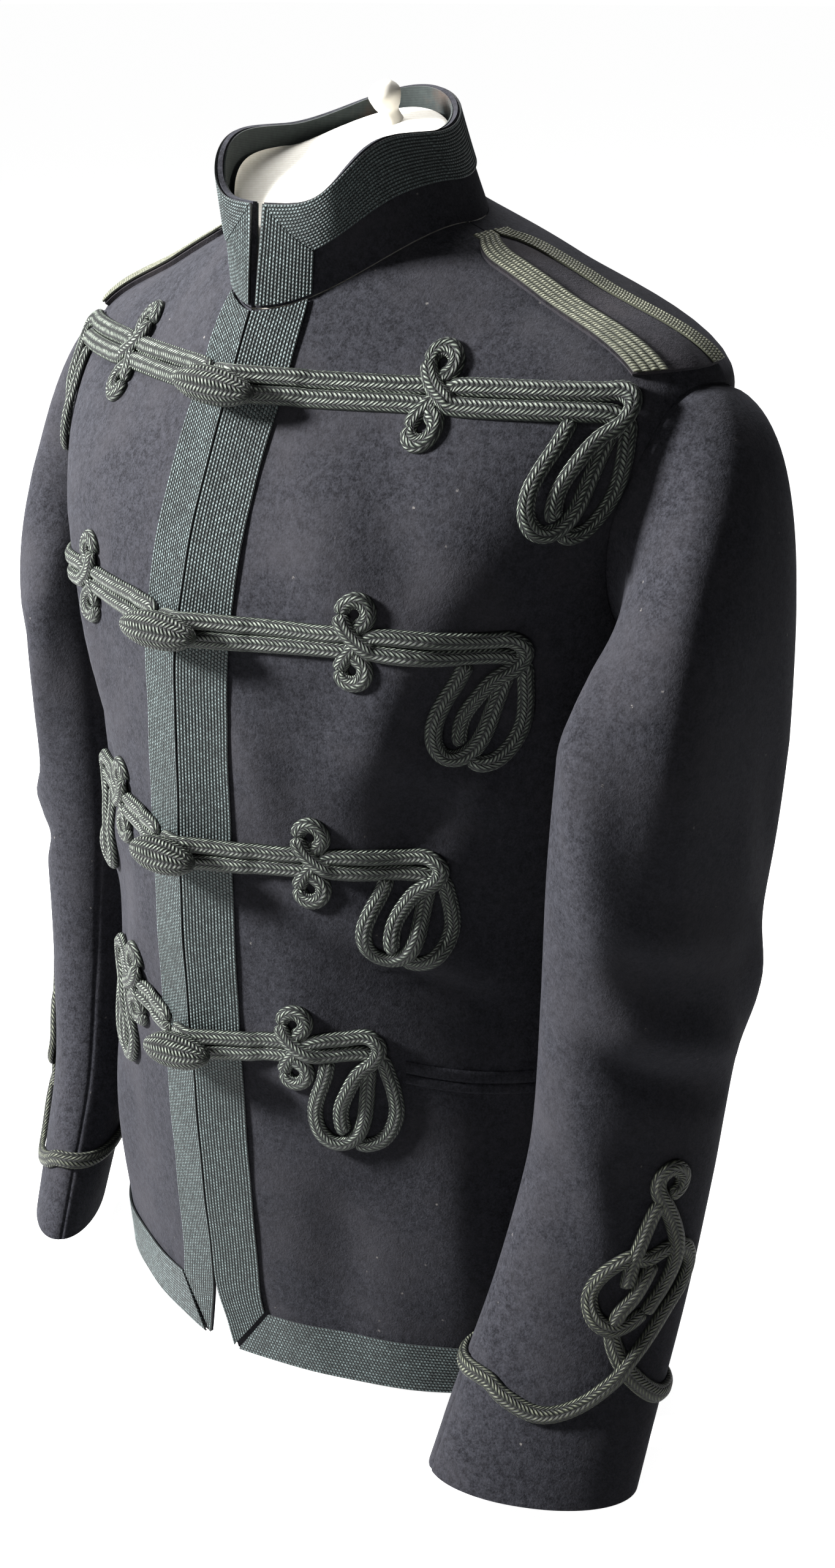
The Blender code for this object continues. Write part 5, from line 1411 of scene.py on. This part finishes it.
@dataclass
class Frogging:
    """Four rows of looped cord on each front, with a toggle over each loop."""

    body: BodySurface
    cords: CordWork
    lane: float = 4.5
    eye_offset: float = 15.0
    eye_radius: float = 6.9
    over: float = 2.1
    on_braid: float = 1.95
    crest: float = 1.4
    reach: float = 11.0
    right_start: float = 23.0
    toggle_radius: float = 10.2
    toggle_taper: float = 0.16

    def eye(self, across: float, rise: float, start: float, end: float,
            count: int) -> list[tuple[float, float]]:
        """Points round an eye between two angles."""
        return [(across + self.eye_radius * math.cos(math.radians(angle)),
                 rise + self.eye_radius * math.sin(math.radians(angle)))
                for angle in np.linspace(start, end, count)]

    def routes(self, row: FrogRow, start: float) -> list[list[tuple]]:
        """The five strands of one row, in distance and height above its line."""
        eye = row.eye_s
        end = row.end_s
        lane = self.lane
        over = self.over
        turn_in = start + 4.0
        half_way = (turn_in + eye) / 2.0
        upper_in = [(start, 0.5), (turn_in, lane), (half_way, lane), (eye - 6.0, lane)]
        upper_in += self.eye(eye, self.eye_offset, -70.0, 185.0, 7)
        upper_out = [(s, w, over) for s, w in self.eye(eye, self.eye_offset, 175.0, 215.0, 2)]
        upper_out += [(eye - 1.0, 4.0, over), (eye + 8.0, -2.5, over), (eye + 16.0, -lane, 0.3),
                      ((eye + end) / 2.0 + 4.0, -lane, 0.0), (end - 17.0, -lane, 0.0),
                      (end - 5.0, -lane - 1.0, 0.0)]
        upper_out += row.foot(FOOT_RIGHT)
        lower_in = [(start, -0.5), (turn_in, -lane), (half_way, -lane), (eye - 6.0, -lane)]
        lower_in += self.eye(eye, -self.eye_offset, 70.0, -185.0, 7)
        lower_out = [(s, w, 0.6) for s, w in self.eye(eye, -self.eye_offset, -175.0, -215.0, 2)]
        lower_out += [(eye - 1.0, -4.0, 0.6), (eye + 8.0, 2.5, 0.0), (eye + 16.0, lane, 0.0),
                      ((eye + end) / 2.0 + 4.0, lane, 0.0), (end - 16.0, lane, 0.2),
                      (end - 5.0, lane + 0.5, 0.8), (end + 1.5, lane - 3.0, over)]
        lower_out += [(s, w, over if w > -30.0 else 0.4) for s, w in row.foot(FOOT_MIDDLE)]
        left = [(s, w, 0.9 if w < -40.0 else 0.0) for s, w in row.foot(FOOT_LEFT)]
        routes = [upper_in, lower_in, upper_out, lower_out, left]
        return [[(*point, 0.0)[:3] for point in route] for route in routes]

    def base(self, row: FrogRow, across: np.ndarray) -> np.ndarray:
        """Height of a cord's underside: over the wide braid near the centre, then the cloth."""
        away = np.abs(across)
        ease = eased(away, 38.0, 48.0)
        crest = self.crest * (1.0 - eased(away, 0.0, 24.0))
        foot = row.foot_lift * eased(away, row.eye_s, row.end_s + FOOT_LEFT[0][0])
        return self.on_braid * (1.0 - ease) + 0.15 * ease + crest + foot

    def toggle(self, number: int, row: FrogRow) -> None:
        """A netted spindle over the loop of a row."""
        points, normals = self.body.frames(np.array([row.toggle_shift]),
                                           np.array([row.centre_z + row.toggle_raised]))
        normal = np.array([normals[0][0] * 0.3, normals[0][1], 0.0])
        normal /= np.linalg.norm(normal)
        lift = 2.25 + self.crest + 4.4 + 0.35 + self.toggle_radius - row.toggle_sunk
        centre = points[0] + normal * lift
        along = np.cross(normal, (0.0, 0.0, 1.0))
        tilt = math.radians(row.toggle_tilt)
        axis = Vector(along * math.cos(tilt) + np.array([0.0, 0.0, math.sin(tilt)]))
        turns = np.linspace(0.0, math.tau, 57)
        share = np.linspace(-1.0, 1.0, 61)[:, None]
        round_end = np.sqrt(np.clip(1.0 - np.abs(share) ** 2.4, 0.0, 1.0))
        radius = self.toggle_radius * round_end * (1.0 - self.toggle_taper * share ** 2)
        columns = turns / math.tau * 14.0
        stitches = share * row.toggle_length / 2.0 / 2.4
        way = 1.0 - 2.0 * (np.floor(columns) % 2.0)
        phase = stitches + way * (columns % 1.0 - 0.5) * 0.7
        net = np.abs(np.sin(np.pi * phase)) ** 0.6 * np.abs(np.sin(np.pi * columns)) ** 0.5
        radius = radius - 0.55 * (1.0 - net) * round_end
        placed = np.stack(np.broadcast_arrays(radius * np.cos(turns), radius * np.sin(turns),
                                              share * row.toggle_length / 2.0), -1)
        texture = np.stack(np.broadcast_arrays(columns, stitches), -1)
        builder = grid_builder(placed, texture)
        bmesh.ops.remove_doubles(builder, verts=builder.verts, dist=1e-6)
        turn = Vector((0.0, 0.0, 1.0)).rotation_difference(axis).to_matrix()
        bmesh.ops.rotate(builder, verts=builder.verts, cent=(0.0, 0.0, 0.0), matrix=turn)
        bmesh.ops.translate(builder, verts=builder.verts, vec=Vector(centre * MM))
        bmesh.ops.recalc_face_normals(builder, faces=builder.faces)
        Piece.add(f"netted_toggle_{number}", builder, NET, [f"toggle_{number}"], "cord",
                  sharp=80.0)

    def build(self) -> None:
        """Build every row on both sides."""
        for number, row in enumerate(FROG_ROWS, start=1):
            for side, start in ((Side.LEFT, -self.reach), (Side.RIGHT, self.right_start)):
                flip = np.array([side.value, 1.0, 1.0])

                def surface(across: np.ndarray, rise: np.ndarray, row: FrogRow = row,
                            side: Side = side, flip: np.ndarray = flip) -> Frames:
                    """Frames of the row's side, mirrored to the left."""
                    points, normals = self.body.frames(across * side.value,
                                                       row.height(across) + rise)
                    return points * flip, normals * flip

                node = f"frog_{number}_{side.word}"
                self.cords.sewn(f"cord_{node}", self.routes(row, start), side, surface,
                                lambda across, row=row: self.base(row, across), CORD, node)
            self.toggle(number, row)


@dataclass
class CuffKnots:
    """The knotted cord round each cuff."""

    cords: CordWork
    lift: float = 0.5

    def build(self, sleeve: Sleeve) -> None:
        """Build one cuff's knot."""
        chart = sleeve.cuff_map()
        sizes = sleeve.sizes

        def surface(across: np.ndarray, rise: np.ndarray) -> Frames:
            """Frames round and up from the knot's crossing."""
            return chart.frames(across, sizes.knot_z + rise * sizes.knot_rise)

        routes = []
        for strand, points in enumerate((KNOT_SWEEP, KNOT_RETURN, KNOT_STEM, KNOT_SPUR)):
            lifted = []
            for index, (across, rise) in enumerate(points):
                lifted.append((across, rise, self.weave(strand, index, len(points))))
            routes.append(lifted)
        node = f"cuff_knot_{sleeve.side.word}"
        self.cords.sewn(f"cord_{node}", routes, sleeve.side, surface,
                        lambda across: np.full_like(across, self.lift), CUFF_CORD, node)

    @staticmethod
    def weave(strand: int, index: int, count: int) -> float:
        """How far a strand is lifted at a point so that crossings pass over and under."""
        if strand == 0:
            return 1.8 if index in (7, 8, 19, 20) else 0.0
        if strand == 1:
            return 1.8 if index in (9, 10, 11) else 0.0
        if strand == 2:
            return 1.6 if index in (3, 4, count - 1) else 0.3
        return 0.6


# ---- shoulder straps and pockets -----------------------------------------------------------


@dataclass
class Straps:
    """A strap on each shoulder with a narrower braid along its edges."""

    body: BodySurface
    lift: float = 0.8
    thickness: float = 2.6
    half_width: float = 25.0
    neck_half_width: float = 20.0
    braid_width: float = 12.5
    braid_thickness: float = 1.2
    outer_level: float = 9.12
    neck_level: float = 10.78
    shift_y: float = -4.0
    tip: float = 0.32
    tip_share: float = 0.1

    def levels(self) -> np.ndarray:
        """Levels from the sleeve end to the rounded neck end."""
        straight = np.linspace(self.outer_level, self.neck_level - self.tip, 46)
        rounded = self.neck_level - self.tip * (1.0 - np.sin(np.linspace(0.05, 1.5, 22)))
        return np.concatenate([straight, rounded])

    def half(self, level: float) -> float:
        """Half of the strap's width at a level."""
        share = (level - self.outer_level) / (self.neck_level - self.outer_level)
        half = self.half_width + (self.neck_half_width - self.half_width) * share
        tip = max(0.0, (level - self.neck_level) / self.tip + 1.0)
        return half * math.sqrt(max(self.tip_share, 1.0 - tip ** 2 * (1.0 - self.tip_share)))

    def laid(self, spread: Callable[[float], np.ndarray], side: Side) -> Frames:
        """Points and normals on top of the shoulder at offsets across the strap."""
        rows = []
        for level in self.levels():
            ring = ring_at(level)
            depths = ring["centre_y"] + self.shift_y + spread(level)
            turns = np.array([turn_of_y(ring, depth) for depth in depths])
            rows.append(self.body.points(level, turns, side))
        points = np.array(rows)
        normals = unit(np.cross(np.gradient(points, axis=1), np.gradient(points, axis=0)))
        return points, normals

    def build(self) -> None:
        """Build both straps and their braids."""
        columns = np.linspace(-1.0, 1.0, 27)
        top = self.lift + self.thickness
        for side in Side:
            points, normals = self.laid(lambda level: columns * self.half(level), side)
            edge = 0.9 * np.abs(columns) ** 10
            placed = points + normals * (top - edge)[None, :, None]
            texture = np.stack(np.broadcast_arrays(columns * 25.0,
                                                   self.levels()[:, None] * 60.0), -1)
            name = f"shoulder_strap_{side.word}"
            Piece.skin(f"cloth_{name}", turned_over(placed, side), texture, STRAP_WOOL, [name],
                       "wool", self.thickness)
            for edge_sign, word in ((-1.0, "front"), (1.0, "back")):
                self.braid(side, edge_sign, word, top + 0.35 + self.braid_thickness)

    def braid(self, side: Side, edge: float, word: str, top: float) -> None:
        """The braid along one edge of a strap."""
        ribs = 4.0
        share = np.linspace(0.0, 1.0, 25)

        def spread(level: float) -> np.ndarray:
            """Offsets across the braid, from the front backwards."""
            outer = max(self.half(level) - 0.3, self.braid_width)
            inner = max(outer - self.braid_width, 0.6)
            offsets = inner + (outer - inner) * share
            return offsets if edge > 0.0 else -offsets[::-1]

        points, normals = self.laid(spread, side)
        relief = 0.35 * (np.abs(np.sin(np.pi * ribs * share)) ** 0.7 - 1.0)
        placed = points + normals * (top + relief)[None, :, None]
        run = np.concatenate([[0.0], np.cumsum(np.linalg.norm(
            np.diff(points[:, 12], axis=0), axis=1))])
        texture = np.stack(np.broadcast_arrays(share * ribs, run[:, None] / 1.7), -1)
        name = f"strap_braid_{word}_{side.word}"
        Piece.skin(f"ribbed_{name}", turned_over(placed, side), texture, KHAKI, [name],
                   "khaki_braid", self.braid_thickness - 0.2)


@dataclass
class Pockets:
    """Two narrow welts at the mouth of each side pocket."""

    body: BodySurface
    start: float = 127.0
    length: float = 111.0
    front_z: float = 239.0
    drop: float = 12.0
    upper: float = 7.0
    lower: float = 5.5
    gap: float = 0.8
    thickness: float = 1.2

    def build(self) -> None:
        """Build the welts of both sides."""
        share = np.linspace(0.0, 1.0, 90)
        for top, height, part in ((0.0, self.upper, "upper"),
                                  (self.upper + self.gap, self.lower, "lower")):
            down = np.linspace(1.0, 0.0, 11)[:, None]
            fall = self.drop * (1.0 - (1.0 - share) ** 2)
            up = self.front_z - fall - top - height * down
            bulge = 0.35 + self.thickness * (1.0 - 0.75 * np.abs(2.0 * down - 1.0) ** 3)
            for side in Side:
                across = (self.start + self.length * share) * side.value
                points, normals = self.body.frames(across, up)
                placed = points + normals * bulge[..., None]
                if side is Side.RIGHT:
                    placed = placed[:, ::-1]
                texture = np.stack(np.broadcast_arrays(share * self.length, up), -1)
                name = f"pocket_{part}_welt_{side.word}"
                Piece.skin(f"cloth_{name}", placed, texture, WOOL, [name], "wool",
                           self.thickness)


# ---- dress form ----------------------------------------------------------------------------


@dataclass
class DressForm:
    """The padded torso with its neck, its finial and its foot."""

    collar: Collar
    clearance: float = 2.5
    slack: float = 7.0
    slack_top: float = 0.6
    slack_run: float = 1.4
    front_slack: float = 3.0
    bottom: float = 1.0
    neck_inside: float = 7.0
    neck_top: float = 0.74
    cap_rise: float = 5.0
    foot_radius: float = 98.0
    foot_height: float = 12.0
    post_radius: float = 22.0
    knob_back: float = 38.0

    def inset(self, level: float, turns: np.ndarray) -> np.ndarray:
        """Distances from the jacket's outer face in to the form."""
        low = min(1.0, max(0.0, (SHOULDER - self.slack_top - level) / self.slack_run))
        away = np.abs(np.cos(np.radians(turns))) ** 0.5
        return self.clearance + self.slack * low + self.front_slack * away * (1.0 - low) + 0.6

    def torso(self) -> Rows:
        """Rows of the left half, from the bottom up over the neck."""
        rows = []
        for level in np.concatenate([np.linspace(self.bottom, SHOULDER, 60),
                                     np.linspace(SHOULDER, NECK, 26)[1:]]):
            ring = ring_at(level)
            dense, length = arc(ring, 0.0, 180.0)
            turns = np.interp(np.linspace(0.0, length[-1], 61), length, dense)
            smooth = dict(ring, ridge=0.0)
            here = ring_points(smooth, turns)
            along = ring_points(smooth, turns + 0.4) - ring_points(smooth, turns - 0.4)
            above = ring_points(ring_at(min(level + 0.03, NECK)), turns)
            below = ring_points(ring_at(max(level - 0.03, HEM)), turns)
            normals = unit(np.cross(along, above - below))
            inner = here - normals * self.inset(level, turns)[:, None]
            inner[[0, -1], 0] = 0.0
            rows.append(inner)
        rows[0][:, 2] = rows[0][:, 2].min()
        shares = np.linspace(0.0, 1.0, 61)
        for up in np.linspace(0.0, self.neck_top, 16):
            neck = self.collar.place(shares, np.array(up), np.array(-self.neck_inside))
            neck[[0, -1], 0] = 0.0
            rows.append(neck)
        top = rows[-1]
        middle = np.array([0.0, (top[0, 1] + top[-1, 1]) / 2.0])
        slope = (top[-1, 2] - top[0, 2]) / (top[-1, 1] - top[0, 1])
        for step in np.linspace(0.0, 1.0, 14)[1:]:
            ring = top.copy()
            scale = math.cos(step * 0.44 * math.pi)
            ring[:, :2] = middle + (top[:, :2] - middle) * scale
            plane = top[0, 2] + (ring[:, 1] - top[0, 1]) * slope + self.cap_rise
            share = math.sin(step * math.pi / 2.0)
            ring[:, 2] = top[:, 2] * (1.0 - share) + plane * share
            rows.append(ring)
        return np.array(rows)

    def build(self) -> None:
        """Build the torso, the finial and the foot."""
        half = self.torso()
        whole = np.concatenate([half, half[:, ::-1][:, 1:] * np.array([-1.0, 1.0, 1.0])], axis=1)
        texture = whole[..., :2]
        builder = grid_builder(whole, texture)
        bmesh.ops.remove_doubles(builder, verts=builder.verts, dist=2e-5)
        rim = [edge for edge in builder.edges if edge.is_boundary]
        bmesh.ops.holes_fill(builder, edges=rim)
        bmesh.ops.recalc_face_normals(builder, faces=builder.faces)
        Piece.add("form_torso", builder, LINEN, ["dress_form"], "linen")
        self.fittings()

    @staticmethod
    def turned(name: str, profile: Sequence, node: str, sides: int, rounding: float,
               place: Matrix) -> None:
        """A turned wooden piece from a profile of radius and height, top to bottom."""
        builder = bmesh.new()
        ring = [builder.verts.new((radius * MM, 0.0, height * MM)) for radius, height in profile]
        edges = [builder.edges.new(pair) for pair in zip(ring[:-1], ring[1:])]
        bmesh.ops.spin(builder, geom=ring + edges, cent=(0.0, 0.0, 0.0), axis=(0.0, 0.0, 1.0),
                       angle=math.tau, steps=sides, use_merge=True)
        bmesh.ops.remove_doubles(builder, verts=builder.verts, dist=1e-6)
        bmesh.ops.recalc_face_normals(builder, faces=builder.faces)
        if rounding:
            sharp = [edge for edge in builder.edges
                     if edge.is_manifold and edge.calc_face_angle() > 0.5]
            bmesh.ops.bevel(builder, geom=sharp, offset=rounding * MM, segments=3, profile=0.5,
                            affect="EDGES", material=-1)
        bmesh.ops.transform(builder, matrix=place, verts=builder.verts)
        Piece.add(name, builder, PAINT, [node], "painted_wood")

    def fittings(self) -> None:
        """The finial on the neck and the foot under the torso."""
        low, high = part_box("form_foot")
        bottom = high[2] / MM
        foot = ((0.0, bottom), (self.post_radius, bottom),
                (self.post_radius, self.foot_height + 4.0),
                (self.post_radius + 5.0, self.foot_height),
                (self.foot_radius - 4.0, self.foot_height),
                (self.foot_radius, self.foot_height - 4.0), (self.foot_radius, low[2] / MM),
                (0.0, low[2] / MM))
        self.turned("form_round_foot", foot, "form_foot", 96, 0.8, Matrix.Identity(4))
        low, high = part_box("form_finial")
        knob = ((0.0, 24.0), (5.4, 22.5), (9.0, 17.5), (7.4, 11.0), (5.6, 7.0), (7.6, 0.0),
                (0.0, 0.0))
        dense = [smooth_row(knob[:-1], at) for at in np.linspace(0.0, 5.0, 36)] + [(0.0, 0.0)]
        profile = [(max(0.0, float(radius)), float(height)) for radius, height in dense]
        middle = (np.array(low) + np.array(high)) / 2.0 / MM
        lean = math.radians(21.0)
        seat = middle - np.array([0.0, -math.sin(lean), math.cos(lean)]) * 12.0
        place = Matrix.Translation(Vector(seat * MM)) @ Matrix.Rotation(lean, 4, "X")
        self.turned("form_knob", profile, "form_finial", 48, 0.0, place)


# ---- studio --------------------------------------------------------------------------------


@dataclass(frozen=True)
class Studio:
    """Floor, soft lights and the camera at the photograph's angle."""

    eye: tuple[float, float, float] = (0.83078, -0.92411, 0.79310)
    azimuth: float = 41.0547
    elevation: float = 20.085
    lens: float = 50.65
    shift: tuple[float, float] = (0.00355, 0.00494)

    def light(self, name: str, place: tuple[float, float, float], size: float,
              power: float) -> None:
        """A square soft light aimed at the jacket."""
        data = bpy.data.lights.new(name, "AREA")
        data.size = size
        data.energy = power
        made = bpy.data.objects.new(name, data)
        bpy.context.scene.collection.objects.link(made)
        made.location = place
        aim = Vector((0.05, -0.02, 0.40)) - made.location
        made.rotation_euler = aim.to_track_quat("-Z", "Y").to_euler()

    def build(self) -> None:
        """Set up the floor, the world, the lights and the camera."""
        builder = bmesh.new()
        bmesh.ops.create_grid(builder, x_segments=4, y_segments=4, size=80.0)
        mesh = bpy.data.meshes.new("studio_floor")
        builder.to_mesh(mesh)
        builder.free()
        mesh.materials.append(FLOOR.material())
        floor = bpy.data.objects.new("studio_floor", mesh)
        bpy.context.scene.collection.objects.link(floor)
        floor.visible_diffuse = False
        world = bpy.data.worlds.new("studio")
        bpy.context.scene.world = world
        world.use_nodes = True
        tree = world.node_tree
        soft = tree.nodes["Background"]
        soft.inputs["Color"].default_value = (1.0, 1.0, 1.0, 1.0)
        soft.inputs["Strength"].default_value = 0.035
        seen = tree.nodes.new("ShaderNodeBackground")
        seen.inputs["Strength"].default_value = 1.0
        seen.inputs["Color"].default_value = (1.0, 1.0, 1.0, 1.0)
        ray = tree.nodes.new("ShaderNodeLightPath")
        mix = tree.nodes.new("ShaderNodeMixShader")
        tree.links.new(ray.outputs["Is Camera Ray"], mix.inputs[0])
        tree.links.new(soft.outputs[0], mix.inputs[1])
        tree.links.new(seen.outputs[0], mix.inputs[2])
        tree.links.new(mix.outputs[0], tree.nodes["World Output"].inputs["Surface"])
        self.light("key_light", (-1.75, -1.85, 1.65), 0.5, 340.0)
        self.light("side_light", (1.2, -2.3, 0.8), 0.8, 9.0)
        self.light("top_light", (-0.9, 0.3, 2.1), 0.8, 44.0)
        data = bpy.data.cameras.new("photo_camera")
        data.sensor_width = 36.0
        data.lens = self.lens
        data.shift_x, data.shift_y = self.shift
        data.clip_start = 0.01
        camera = bpy.data.objects.new("photo_camera", data)
        bpy.context.scene.collection.objects.link(camera)
        camera.location = self.eye
        camera.rotation_euler = (math.radians(90.0 - self.elevation), 0.0,
                                 math.radians(self.azimuth))
        bpy.context.scene.camera = camera
        bpy.context.scene.view_settings.view_transform = "Standard"


# ---- building the scene --------------------------------------------------------------------


def main() -> None:
    """Build the jacket, its form and the studio."""
    logging.basicConfig(level=logging.INFO, format="%(message)s")
    Studio().build()
    body = BodySurface(BodySizes(), BODY_FOLDS)
    Panels(body).build()
    braids = Braids(body)
    braids.build()
    collar = Collar(braids)
    collar.build()
    cords = CordWork()
    sleeves = (Sleeve(body, LEFT_SLEEVE, Side.LEFT, LEFT_FOLDS),
               Sleeve(body, RIGHT_SLEEVE, Side.RIGHT, RIGHT_FOLDS))
    for sleeve in sleeves:
        sleeve.build()
        CuffKnots(cords).build(sleeve)
    Frogging(body, cords).build()
    Straps(body).build()
    Pockets(body).build()
    DressForm(collar).build()


if __name__ == "__main__":
    main()
